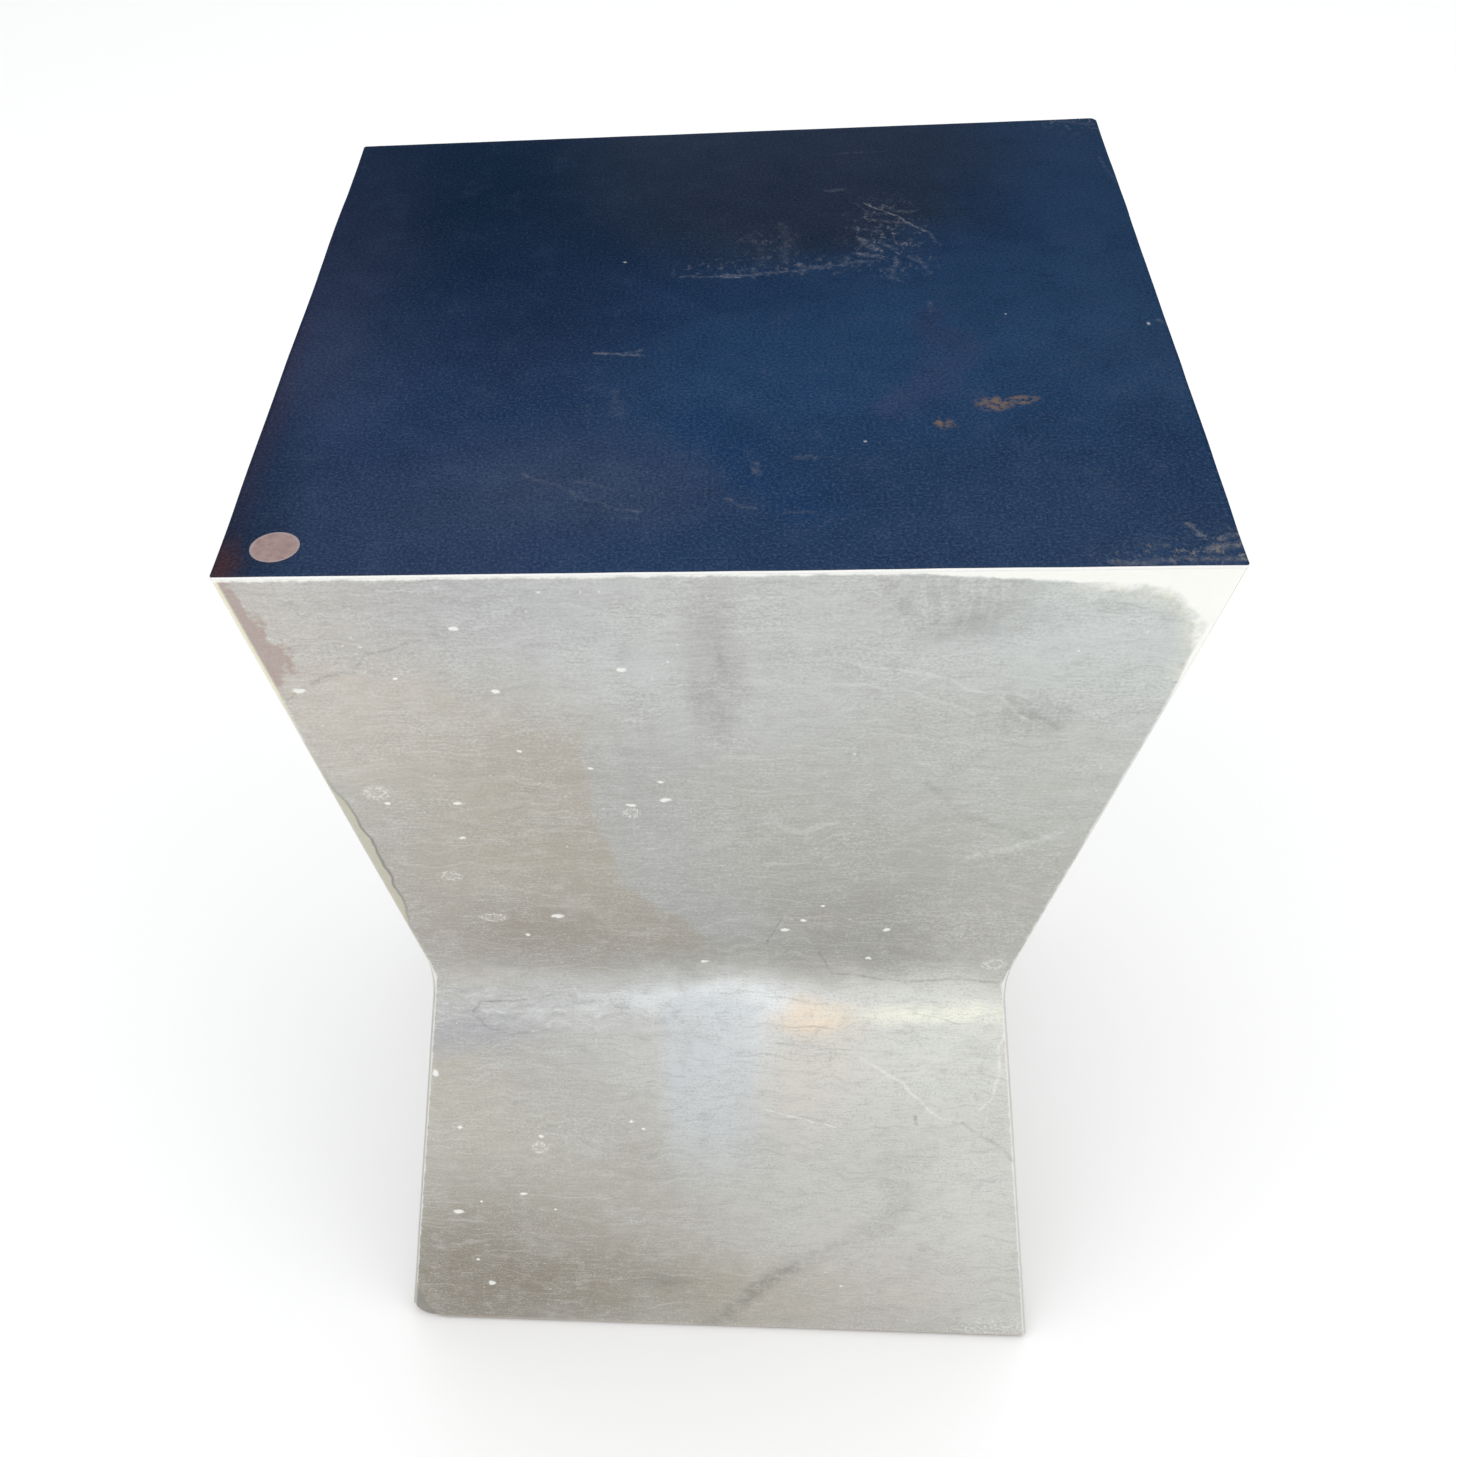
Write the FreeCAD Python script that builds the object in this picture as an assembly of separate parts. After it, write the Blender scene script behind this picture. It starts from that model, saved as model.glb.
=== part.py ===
"""Hourglass side table in polished aluminium sheet over a plywood and batten carcass.

Four bent sheets make the skin. Each one leans in from the square top to a narrower waist and out
again to a base as wide as the top. The two side sheets turn 90 degrees at their vertical edges into
flanges, and the front and rear sheets lap over those flanges. A flat square sheet covers the top.
Inside are three plywood boards, at the top, waist and base, and a batten in each corner between
them. Four nailed glides carry the table. Nothing moves.

Frame, in millimetres: +Z is up, the front sheet faces -Y, +X is to the right of someone who
stands in front of it, and the origin is the centre of the footprint on the floor.
"""
import FreeCAD
import Part
import math
import os
from FreeCAD import Vector

os.makedirs("parts", exist_ok=True)

# ---- Driving dimensions ----
WIDTH = 400.0            # top and base, over the sheets
HEIGHT = 600.0           # floor to the top sheet's upper face
WAIST_WIDTH = 306.0      # where the straight parts of two opposite sheets would cross
BEND_RADIUS = 115.0      # outside face of the soft bend at the waist
SHEET = 1.5              # thickness of every aluminium sheet

FLANGE_WIDTH = 20.0      # flanges of the side sheets, under the front and rear sheets
FLANGE_NOTCH = 40.0      # gap in each flange, which lets it pass the waist bend
FLANGE_ROOM = 1.5        # free space beside each flange in the boards' rebates
EDGE_REVEAL = 1.2        # strip of the side sheet's fold left uncovered beside the front sheet
FOLD_RADIUS = 1.2        # outside of the fold between a side sheet and its flange
TOP_CORNER_RADIUS = 1.5  # corners of the top sheet
TOP_WORN_RADIUS = 4.0    # its rear right corner, rubbed rounder

SNIP_WIDTH = 18.0        # rounded-off lower corner of the front and rear sheets
SNIP_HEIGHT = 50.0
SNIP_RADIUS = 55.0
FLANGE_SNIP = 16.0       # smaller rounding of the side sheet behind it

BOARD = 18.0             # plywood thickness
BOARD_CORNER = 14.0      # corners cut off the base board, clear of the folds
BASE_RECESS = 2.0        # base board's underside above the sheets' lower edges
BATTEN = 22.0            # corner battens, square in plan

GLIDE_DIAMETER = 24.0
GLIDE_HEIGHT = 5.0
GLIDE_EDGE = 1.0         # chamfer round the glide's foot
GLIDE_SPREAD = 158.0     # glide centres from the middle, in X and in Y
SKIN_CLEARANCE = 3.0     # sheets' lower edges above the floor

SCREW_LENGTH = 45.0
SCREW_RADIUS = 2.0
SCREW_ROOT = 1.4
SCREW_HEAD_RADIUS = 4.0
SCREW_PITCH = 2.0
SCREW_PLAIN = 1.0        # unthreaded shank past the board
SCREW_TIP = 4.0          # point past the last whole thread, at least
SLOT_WIDTH = 1.0
SLOT_DEPTH = 1.2
NAIL_RADIUS = 1.2
NAIL_LENGTH = 17.0
NAIL_POINT = 2.0
NAIL_HEAD_RADIUS = 3.5
NAIL_HEAD = 1.2
NAIL_SUNK = 1.0          # nail head's face above the floor
RECESS_ROOM = 0.5        # gap round the nail's head in its glide
DOWEL_RADIUS = 4.0
DOWEL_BITE = 20.0        # dowel's depth in each batten

LABEL_DIAMETER = 20.5
LABEL_THICKNESS = 0.15
LABEL_FROM_LEFT = 24.0   # label's centre from the top's left and front edges
LABEL_FROM_FRONT = 20.0

# ---- Worked out ----
LEAN = (WIDTH - WAIST_WIDTH) / HEIGHT        # sideways run of a sheet per unit of height
COS_LEAN = math.cos(math.atan(LEAN))
SIN_LEAN = math.sin(math.atan(LEAN))
MID = HEIGHT / 2
SKIN_LOW = SKIN_CLEARANCE
SKIN_HIGH = HEIGHT - SHEET
BEND_CENTRE = WAIST_WIDTH / 2 + BEND_RADIUS / COS_LEAN   # distance from the middle, at mid height
WAIST_HALF = BEND_CENTRE - BEND_RADIUS                   # outside of the sheets at the waist
BASE_LOW = SKIN_LOW + BASE_RECESS
FAR = 2 * WIDTH                                          # longer than any part, for cutting tools
OVERCUT = 1.0                                            # how far a drilling tool starts outside
TOLERANCE = 1e-4                                         # for finding edges by place

SIDES = {"left": -1, "right": 1}
ENDS = {"front": -1, "rear": 1}
CORNERS = [(end, side) for end in ENDS for side in SIDES]


def half_width(z, inset=0.0):
    """Distance from the middle to the straight part of a sheet at height z, inset at right angles to it."""
    return WIDTH / 2 - LEAN * min(z, HEIGHT - z) - inset / COS_LEAN


# ---- Shapes shared by the sheets and the carcass ----
def skin_edges(inset, plane):
    """The skin's line from low to high on the positive side: straight, bend, straight."""
    radius = BEND_RADIUS + inset
    turn = radius * SIN_LEAN
    touch = BEND_CENTRE - radius * COS_LEAN
    low = plane(half_width(0, inset), 0)
    low_touch = plane(touch, MID - turn)
    middle = plane(BEND_CENTRE - radius, MID)
    high_touch = plane(touch, MID + turn)
    high = plane(half_width(HEIGHT, inset), HEIGHT)
    return [Part.LineSegment(low, low_touch).toShape(),
            Part.Arc(low_touch, middle, high_touch).toShape(),
            Part.LineSegment(high_touch, high).toShape()]


def across_y(r, z):
    """A point of the profile that front and rear sheets follow."""
    return Vector(-FAR, r, z)


def across_x(r, z):
    """A point of the profile that side sheets follow."""
    return Vector(r, -FAR, z)


def sideways(plane):
    """The sweep that carries a profile in that plane right past the table."""
    return Vector(2 * FAR, 0, 0) if plane is across_y else Vector(0, 2 * FAR, 0)


def closed_face(first, second):
    """The face between two open chains of edges, joined by straight lines at both ends."""
    a, b = Part.Wire(first), Part.Wire(second)
    a_low, a_high = first[0].firstVertex().Point, first[-1].lastVertex().Point
    b_low, b_high = second[0].firstVertex().Point, second[-1].lastVertex().Point
    ends = [Part.LineSegment(a_low, b_low).toShape(), Part.LineSegment(a_high, b_high).toShape()]
    return Part.Face(Part.Wire(Part.__sortEdges__(a.Edges + b.Edges + ends)))


def band(plane, sign, outer, inner):
    """A sheet-like solid on one face of the table, between two insets, endless sideways."""
    def mirrored(r, z):
        return plane(sign * r, z)
    face = closed_face(skin_edges(outer, mirrored), skin_edges(inner, mirrored))
    return face.extrude(sideways(plane))


def prism(plane, inset):
    """Everything between two opposite skins at that inset, endless sideways."""
    def mirrored(r, z):
        return plane(-r, z)
    face = closed_face(skin_edges(inset, plane), skin_edges(inset, mirrored))
    return face.extrude(sideways(plane))


def slab(low, high, half=FAR):
    """A square block between two heights, centred on the Z axis."""
    return Part.makeBox(2 * half, 2 * half, high - low, Vector(-half, -half, low))


def half_space(axis, sign):
    """The block on one side of the middle, along X (0) or Y (1)."""
    corner = [-FAR, -FAR, -FAR]
    size = [2 * FAR, 2 * FAR, 2 * FAR]
    corner[axis] = 0.0 if sign > 0 else -FAR
    size[axis] = FAR
    return Part.makeBox(*size, Vector(*corner))


def turned_half(shape):
    """The same shape turned half way round the Z axis."""
    copy = shape.copy()
    copy.rotate(Vector(0, 0, 0), Vector(0, 0, 1), 180)
    return copy


def upright_rod(x, y, low, high, radius):
    """Cylinder round a vertical line, as a solid part or as a drilling tool."""
    return Part.makeCylinder(radius, high - low, Vector(x, y, low))


def export(name, *solids):
    """Writes one node. Several solids make one group."""
    kept = []
    for shape in solids:
        kept += shape.Solids
    for solid in kept:
        assert solid.isValid() and solid.Volume > 0, name
    whole = kept[0] if len(kept) == 1 else Part.makeCompound(kept)
    whole.exportStep(f"parts/{name}.step")
    size = whole.BoundBox
    print(f"{name:26s} solids {len(kept):2d}  volume {whole.Volume / 1000:9.2f} cm3  "
          f"X {size.XMin:7.1f} {size.XMax:7.1f}  Y {size.YMin:7.1f} {size.YMax:7.1f}  "
          f"Z {size.ZMin:6.1f} {size.ZMax:6.1f}")


# ---- Aluminium sheets ----
def top_plate():
    """Flat square sheet with slightly rounded corners."""
    plate = Part.makeBox(WIDTH, WIDTH, SHEET, Vector(-WIDTH / 2, -WIDTH / 2, SKIN_HIGH))
    upright = [e for e in plate.Edges if abs(e.tangentAt(e.FirstParameter).z) > 0.9]
    worn = [e for e in upright if e.CenterOfMass.x > 0 and e.CenterOfMass.y > 0]
    plain = [e for e in upright if e not in worn]
    plate = plate.makeFillet(TOP_WORN_RADIUS, worn)
    places = [e.CenterOfMass for e in plain]
    upright = [e for e in plate.Edges if any(e.CenterOfMass.isEqual(p, TOLERANCE) for p in places)]
    return plate.makeFillet(TOP_CORNER_RADIUS, upright)


def corner_snip(edge, across, up, radius, plane):
    """Cutter that rounds off a sheet's lower corner on the negative side, endless through the sheet.
    edge(z) is where the leaning edge is. The arc takes across off the bottom and up off the edge."""
    start = Vector(edge(SKIN_LOW + up), SKIN_LOW + up, 0)
    end = Vector(edge(SKIN_LOW) + across, SKIN_LOW, 0)
    chord = end - start
    towards_middle = Vector(-chord.y, chord.x, 0).normalize()
    reach = math.sqrt(radius ** 2 - (chord.Length / 2) ** 2)
    centre = start + chord * 0.5 + towards_middle * reach
    if plane is across_y:
        low_corner, size = Vector(-FAR, -FAR, -FAR), (end.x + FAR, FAR, start.y + FAR)
        axis_start, axis = Vector(centre.x, -FAR, centre.y), Vector(0, 1, 0)
    else:
        low_corner, size = Vector(-FAR, -FAR, -FAR), (FAR, end.x + FAR, start.y + FAR)
        axis_start, axis = Vector(-FAR, centre.x, centre.y), Vector(1, 0, 0)
    return Part.makeBox(*size, low_corner).cut(Part.makeCylinder(radius, FAR, axis_start, axis))


def front_panel():
    """Bent sheet that laps over both side sheets' flanges, its lower left corner rounded off."""
    def edge(z):
        return -half_width(z, EDGE_REVEAL)
    sheet = band(across_y, ENDS["front"], 0, SHEET)
    sheet = sheet.common(prism(across_x, EDGE_REVEAL)).common(slab(SKIN_LOW, SKIN_HIGH))
    return sheet.cut(corner_snip(edge, SNIP_WIDTH, SNIP_HEIGHT, SNIP_RADIUS, across_y))


def flange_bands():
    """The layer just under the front and rear sheets."""
    front = band(across_y, ENDS["front"], SHEET, 2 * SHEET)
    return front.fuse(band(across_y, ENDS["rear"], SHEET, 2 * SHEET))


def on_fold(point):
    """Whether a point is on the outside corner between the left sheet and one of its flanges."""
    off_side = abs(point.x + half_width(point.z))
    off_flange = abs(abs(point.y) - half_width(point.z, SHEET))
    return max(off_side, off_flange) < TOLERANCE


def folded_run(low, high):
    """The left sheet with its two flanges between two heights, where it is straight."""
    sheet = band(across_x, SIDES["left"], 0, SHEET).common(prism(across_y, SHEET))
    flanges = flange_bands().common(prism(across_x, 0)).cut(prism(across_x, FLANGE_WIDTH))
    flanges = flanges.common(half_space(0, SIDES["left"]))
    run = sheet.fuse(flanges).common(slab(low, high)).removeSplitter()
    folds = [e for e in run.Edges if on_fold(e.CenterOfMass)]
    assert len(folds) == 2
    return run.makeFillet(FOLD_RADIUS, folds)


def left_panel():
    """Bent sheet with four flanges, none at the waist bend, its lower front corner rounded off."""
    notch_low, notch_high = MID - FLANGE_NOTCH / 2, MID + FLANGE_NOTCH / 2
    side_layer = band(across_x, SIDES["left"], 0, SHEET)
    waist = side_layer.common(prism(across_y, SHEET)).common(slab(notch_low, notch_high))
    panel = waist.fuse([folded_run(SKIN_LOW, notch_low), folded_run(notch_high, SKIN_HIGH)])

    def side_edge(z):
        return -half_width(z)

    def fold_edge(z):
        return -half_width(z, SHEET)
    flange_layer = band(across_y, ENDS["front"], SHEET, 2 * SHEET)
    snips = [corner_snip(side_edge, FLANGE_SNIP, FLANGE_SNIP, FLANGE_SNIP, across_y).common(flange_layer),
             corner_snip(fold_edge, FLANGE_SNIP, FLANGE_SNIP, FLANGE_SNIP, across_x).common(side_layer)]
    return panel.cut(snips)


# ---- Carcass ----
def flange_rebates():
    """The space that the flanges take out of the corners of a board."""
    return flange_bands().cut(prism(across_x, FLANGE_WIDTH + FLANGE_ROOM))


def bevelled_board(low):
    """Square board whose edges follow the inside of the sheets."""
    board = prism(across_x, SHEET).common(prism(across_y, SHEET)).common(slab(low, low + BOARD))
    return board.cut(flange_rebates())


def cut_corner_block():
    """Upright block, square with its corners cut at 45 degrees, that trims the base board."""
    half = half_width(BASE_LOW)
    short = half - BOARD_CORNER
    outline = [(half, short), (short, half), (-short, half), (-half, short),
               (-half, -short), (-short, -half), (short, -half), (half, -short), (half, short)]
    face = Part.Face(Part.makePolygon([Vector(x, y, 0) for x, y in outline]))
    return face.extrude(Vector(0, 0, MID))


def batten_centre(z):
    """Centre of a corner batten at height z, as distances from the middle in X and in Y."""
    across = half_width(z, SHEET) - BATTEN / 2
    deep = half_width(z, 2 * SHEET) - BATTEN / 2
    return across, deep


def batten(end, side, low, high):
    """Corner batten, square in plan, that leans with both sheets."""
    wires = []
    for z in (low, high):
        x, y = batten_centre(z)
        x, y = SIDES[side] * x, ENDS[end] * y
        h = BATTEN / 2
        outline = [(x - h, y - h), (x + h, y - h), (x + h, y + h), (x - h, y + h), (x - h, y - h)]
        wires.append(Part.makePolygon([Vector(u, v, z) for u, v in outline]))
    solid = Part.makeLoft(wires, True, True)
    return solid if solid.Volume > 0 else solid.reversed()


def corner_points(z):
    """The four batten centres at height z."""
    x, y = batten_centre(z)
    return {(end, side): (SIDES[side] * x, ENDS[end] * y) for end, side in CORNERS}


# ---- Fasteners ----
def wood_screw(x, y, head_z, down=True):
    """Countersunk screw with a threaded lower part. head_z is the height of its flat head."""
    sign = -1.0 if down else 1.0
    head_depth = SCREW_HEAD_RADIUS - SCREW_ROOT
    thread_start = BOARD + SCREW_PLAIN
    profile = [(0, 0), (SCREW_HEAD_RADIUS, 0), (SCREW_ROOT, head_depth), (SCREW_ROOT, thread_start)]
    turns = int((SCREW_LENGTH - SCREW_TIP - thread_start) / SCREW_PITCH)
    for turn in range(turns):
        at = thread_start + turn * SCREW_PITCH
        profile.append((SCREW_RADIUS, at + SCREW_PITCH / 2))
        profile.append((SCREW_ROOT, at + SCREW_PITCH))
    profile.append((0, SCREW_LENGTH))
    profile.append((0, 0))
    points = [Vector(x + r, y, head_z + sign * d) for r, d in profile]
    face = Part.Face(Part.makePolygon(points))
    screw = face.revolve(Vector(x, y, head_z), Vector(0, 0, 1), 360)
    slot_low = head_z - SLOT_DEPTH if down else head_z
    slot = Part.makeBox(2 * SCREW_HEAD_RADIUS, SLOT_WIDTH, SLOT_DEPTH,
                        Vector(x - SCREW_HEAD_RADIUS, y - SLOT_WIDTH / 2, slot_low))
    return screw.cut(slot)


def screw_hole(x, y, head_z, down=True):
    """The countersunk hole that a screw fills."""
    sign = -1.0 if down else 1.0
    head_depth = SCREW_HEAD_RADIUS - SCREW_RADIUS
    profile = [(0, -OVERCUT), (SCREW_HEAD_RADIUS, -OVERCUT), (SCREW_HEAD_RADIUS, 0),
               (SCREW_RADIUS, head_depth), (SCREW_RADIUS, SCREW_LENGTH), (0, SCREW_LENGTH),
               (0, -OVERCUT)]
    points = [Vector(x + r, y, head_z + sign * d) for r, d in profile]
    return Part.Face(Part.makePolygon(points)).revolve(Vector(x, y, head_z), Vector(0, 0, 1), 360)


def glide(x, y):
    """Round plastic foot with a recess for its nail's head."""
    foot = Part.makeCylinder(GLIDE_DIAMETER / 2, GLIDE_HEIGHT, Vector(x, y, 0))
    rim = [e for e in foot.Edges if e.BoundBox.ZMax < TOLERANCE and e.Closed and e.Length > GLIDE_DIAMETER]
    foot = foot.makeChamfer(GLIDE_EDGE, rim)
    recess = upright_rod(x, y, 0, NAIL_SUNK + NAIL_HEAD, NAIL_HEAD_RADIUS + RECESS_ROOM)
    return foot.cut(recess).cut(upright_rod(x, y, 0, GLIDE_HEIGHT, NAIL_RADIUS))


def nail(x, y):
    """Flat-headed nail up through a glide into the base board."""
    shank_low, shank_high = NAIL_SUNK + NAIL_HEAD, NAIL_SUNK + NAIL_LENGTH - NAIL_POINT
    head = upright_rod(x, y, NAIL_SUNK, shank_low, NAIL_HEAD_RADIUS)
    shank = upright_rod(x, y, shank_low, shank_high, NAIL_RADIUS)
    point = Part.makeCone(NAIL_RADIUS, 0, NAIL_POINT, Vector(x, y, shank_high))
    return head.fuse(shank).fuse(point)


def nail_hole(x, y):
    """The hole in the base board that a nail fills."""
    return upright_rod(x, y, 0, NAIL_SUNK + NAIL_LENGTH, NAIL_RADIUS)


# ---- Assembly ----
def main():
    front = front_panel()
    left = left_panel()
    export("top_plate", top_plate())
    export("front_panel", front)
    export("rear_panel", turned_half(front))
    export("left_panel", left)
    export("right_panel", turned_half(left))

    top_low = SKIN_HIGH - BOARD
    waist_low, waist_high = MID - BOARD / 2, MID + BOARD / 2
    base_high = BASE_LOW + BOARD
    top_points = corner_points(SKIN_HIGH - SCREW_LENGTH / 2 - BOARD / 2)
    base_points = corner_points(BASE_LOW + SCREW_LENGTH / 2 + BOARD / 2)
    waist_points = corner_points(waist_high + DOWEL_BITE / 2)
    glide_points = {(end, side): (SIDES[side] * GLIDE_SPREAD, ENDS[end] * GLIDE_SPREAD)
                    for end, side in CORNERS}

    top_board = bevelled_board(top_low)
    waist_half = WAIST_HALF - SHEET
    waist_board = slab(waist_low, waist_high, waist_half)
    base_board = bevelled_board(BASE_LOW).common(cut_corner_block())
    top_screws, base_screws, dowels, nails = [], [], [], []
    for key in CORNERS:
        end, side = key
        tx, ty = top_points[key]
        bx, by = base_points[key]
        wx, wy = waist_points[key]
        gx, gy = glide_points[key]
        upper = batten(end, side, waist_high, top_low)
        lower = batten(end, side, base_high, waist_low)
        dowel_low, dowel_high = waist_low - DOWEL_BITE, waist_high + DOWEL_BITE
        dowels.append(upright_rod(wx, wy, dowel_low, dowel_high, DOWEL_RADIUS))
        top_screws.append(wood_screw(tx, ty, SKIN_HIGH, down=True))
        base_screws.append(wood_screw(bx, by, BASE_LOW, down=False))
        nails.append(nail(gx, gy))

        top_board = top_board.cut(screw_hole(tx, ty, SKIN_HIGH, down=True))
        base_board = base_board.cut(screw_hole(bx, by, BASE_LOW, down=False))
        base_board = base_board.cut(nail_hole(gx, gy))
        waist_board = waist_board.cut(dowels[-1])
        upper = upper.cut(dowels[-1]).cut(screw_hole(tx, ty, SKIN_HIGH, down=True))
        lower = lower.cut(dowels[-1]).cut(screw_hole(bx, by, BASE_LOW, down=False))
        export(f"upper_batten_{end}_{side}", upper)
        export(f"lower_batten_{end}_{side}", lower)
        export(f"glide_{end}_{side}", glide(gx, gy))

    export("top_board", top_board)
    export("waist_board", waist_board)
    export("base_board", base_board)
    export("top_board_screws", *top_screws)
    export("base_board_screws", *base_screws)
    export("waist_dowels", *dowels)
    export("glide_nails", *nails)

    label_x = -WIDTH / 2 + LABEL_FROM_LEFT
    label_y = -WIDTH / 2 + LABEL_FROM_FRONT
    label_high = HEIGHT + LABEL_THICKNESS
    export("price_label", upright_rod(label_x, label_y, HEIGHT, label_high, LABEL_DIAMETER / 2))


main()
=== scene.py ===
"""Looks of an hourglass side table skinned in aluminium sheet. Metres, in the CAD's frame.

The five sheets and the label are rebuilt as fine meshes with eased edges and shallow dents, and
stand for their plain CAD nodes. The carcass, glides and fasteners keep their CAD shapes and get
procedural wood, plastic and steel.
"""
import math
import bmesh
import bpy
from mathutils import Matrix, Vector, noise


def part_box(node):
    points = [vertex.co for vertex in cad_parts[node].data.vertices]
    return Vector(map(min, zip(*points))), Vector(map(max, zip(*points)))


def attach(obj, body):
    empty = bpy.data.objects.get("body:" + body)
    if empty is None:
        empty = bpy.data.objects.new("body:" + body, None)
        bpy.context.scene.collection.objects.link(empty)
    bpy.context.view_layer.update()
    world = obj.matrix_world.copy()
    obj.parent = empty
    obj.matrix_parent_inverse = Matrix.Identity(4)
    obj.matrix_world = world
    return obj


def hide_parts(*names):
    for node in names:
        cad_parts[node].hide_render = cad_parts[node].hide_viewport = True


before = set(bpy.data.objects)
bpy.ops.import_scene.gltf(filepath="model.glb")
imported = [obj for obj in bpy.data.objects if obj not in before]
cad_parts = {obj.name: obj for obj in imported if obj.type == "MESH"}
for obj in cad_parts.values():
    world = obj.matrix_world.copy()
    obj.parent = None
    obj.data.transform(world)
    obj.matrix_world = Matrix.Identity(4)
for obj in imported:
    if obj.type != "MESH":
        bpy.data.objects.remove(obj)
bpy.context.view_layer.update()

MM = 0.001

# ---- Sizes ----
TOP_LOW, TOP_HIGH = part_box("top_plate")
WIDTH = TOP_HIGH[0] - TOP_LOW[0]
HEIGHT = TOP_HIGH[2]
SHEET = TOP_HIGH[2] - TOP_LOW[2]
SKIN_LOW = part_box("front_panel")[0][2]
SKIN_HIGH = TOP_LOW[2]
MID = HEIGHT / 2
WAIST_WIDTH = 306 * MM          # where the straight parts of two opposite sheets would cross
BEND_RADIUS = 115 * MM          # outside of the soft bend at the waist
LEAN = (WIDTH - WAIST_WIDTH) / HEIGHT
COS_LEAN = math.cos(math.atan(LEAN))
SIN_LEAN = math.sin(math.atan(LEAN))
BEND_CENTRE = WAIST_WIDTH / 2 + BEND_RADIUS / COS_LEAN

REVEAL = 1.2 * MM               # strip of the side sheet's fold beside the front and rear sheets
FOLD_RADIUS = 1.2 * MM
INNER_FOLD = 0.4 * MM
FLANGE_WIDTH = 20 * MM
FLANGE_NOTCH = 40 * MM
SNIP_WIDTH = 18 * MM            # rounded lower corner of the front and rear sheets
SNIP_HEIGHT = 50 * MM
SNIP_RADIUS = 55 * MM
FLANGE_SNIP = 16 * MM           # quarter-round lower corner of the side sheets behind it
EDGE_EASE = 0.3 * MM            # worn rounding of every cut edge
DENT = 0.45 * MM                # deepest dent in the sheets
DENT_FADE = 40 * MM             # below the top, where dents give way to the wavy edge
SNIP_FADE = 40 * MM             # above a side sheet's lower edge, where its rounding ends
TOP_CORNER_RADIUS = 1.5 * MM
TOP_WORN_RADIUS = 4.0 * MM      # rear right corner of the top
EDGE_WAVE = 0.9 * MM            # how far the skin's upper edges wander inwards
TOP_SHORT = 1.2 * MM            # how much shorter than them the top is cut, in places

FACE_SEEDS = {"front": 3.0, "rear": 11.0, "left": 19.0, "right": 27.0}


# ---- Shape of the skin ----
def skin(z, inset=0.0):
    """Distance from the middle to a sheet's flawless face at height z."""
    radius = BEND_RADIUS + inset
    if abs(z - MID) < radius * SIN_LEAN:
        return BEND_CENTRE - math.sqrt(radius ** 2 - (z - MID) ** 2)
    return WIDTH / 2 - LEAN * min(z, HEIGHT - z) - inset / COS_LEAN


def wave(u, v, seed, length):
    """Smooth noise from 0 to 1 with bumps about length apart."""
    return 0.5 + 0.5 * noise.noise(Vector((u / length, v / length, seed)))


def dent(face, across, z):
    """How far a sheet is pushed in at a point of its face."""
    seed = FACE_SEEDS[face]
    broad = wave(across, z, seed, 95 * MM)
    small = wave(across, z, seed + 5.0, 34 * MM)
    edge = max(0.0, 1.0 - (SKIN_HIGH - z) / DENT_FADE)
    body = DENT * (0.75 * broad + 0.25 * small)
    return body * (1 - edge) + edge * edge_wave(face, across)


def edge_wave(face, along):
    """How far the top sheet's edge is inside its square, at a point along one side."""
    seed = FACE_SEEDS[face] + 40.0
    return EDGE_WAVE * (0.7 * wave(along, 0, seed, 60 * MM) + 0.3 * wave(along, 0, seed + 2.0, 21 * MM))


def surface(face, across, z):
    """Distance from the middle to a sheet's real outer face."""
    return skin(z) - dent(face, across, z)


def heights():
    """Rows of the sheets' meshes, closer at the base's cut corners and round the waist bend."""
    rows = [SKIN_LOW]
    while rows[-1] < SKIN_HIGH - 6 * MM:
        z = rows[-1]
        near_base = z < SKIN_LOW + 22 * MM
        near_bend = abs(z - MID) < 26 * MM
        rows.append(z + (1.5 * MM if near_base else 2.5 * MM if near_bend else 4.5 * MM))
    return rows + [SKIN_HIGH]


def snip_limit(z):
    """How far in from its leaning edge the front sheet starts at height z, at its rounded corner."""
    if z >= SKIN_LOW + SNIP_HEIGHT:
        return 0.0
    start = Vector((LEAN * SNIP_HEIGHT, SNIP_HEIGHT))
    end = Vector((SNIP_WIDTH, 0.0))
    chord = end - start
    inwards = Vector((-chord.y, chord.x)).normalized()
    reach = math.sqrt(SNIP_RADIUS ** 2 - (chord.length / 2) ** 2)
    centre = (start + end) / 2 + inwards * reach
    up = z - SKIN_LOW
    x = centre.x - math.sqrt(SNIP_RADIUS ** 2 - (up - centre.y) ** 2)
    return max(0.0, x - LEAN * up)


def quarter_lift(distance):
    """How high a side sheet's lower edge is, at a distance from its fold, at the rounded corner."""
    if distance >= FLANGE_SNIP:
        return 0.0
    return FLANGE_SNIP - math.sqrt(FLANGE_SNIP ** 2 - (FLANGE_SNIP - distance) ** 2)


# ---- Meshes ----
def scene_object(name, data):
    """A new object in the scene over a mesh, light or camera."""
    thing = bpy.data.objects.new(name, data)
    bpy.context.scene.collection.objects.link(thing)
    return thing


def smooth_shaded(piece):
    for polygon in piece.data.polygons:
        polygon.use_smooth = True
    return piece


def mesh_piece(name, verts, faces):
    mesh = bpy.data.meshes.new(name)
    mesh.from_pydata(verts, [], faces)
    return scene_object(name, mesh)


def welded(piece, reach):
    """Joins points closer than reach, where a grid meets itself, and shades the piece smooth."""
    piece.modifiers.new("weld", "WELD").merge_threshold = reach
    return smooth_shaded(piece)


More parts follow.
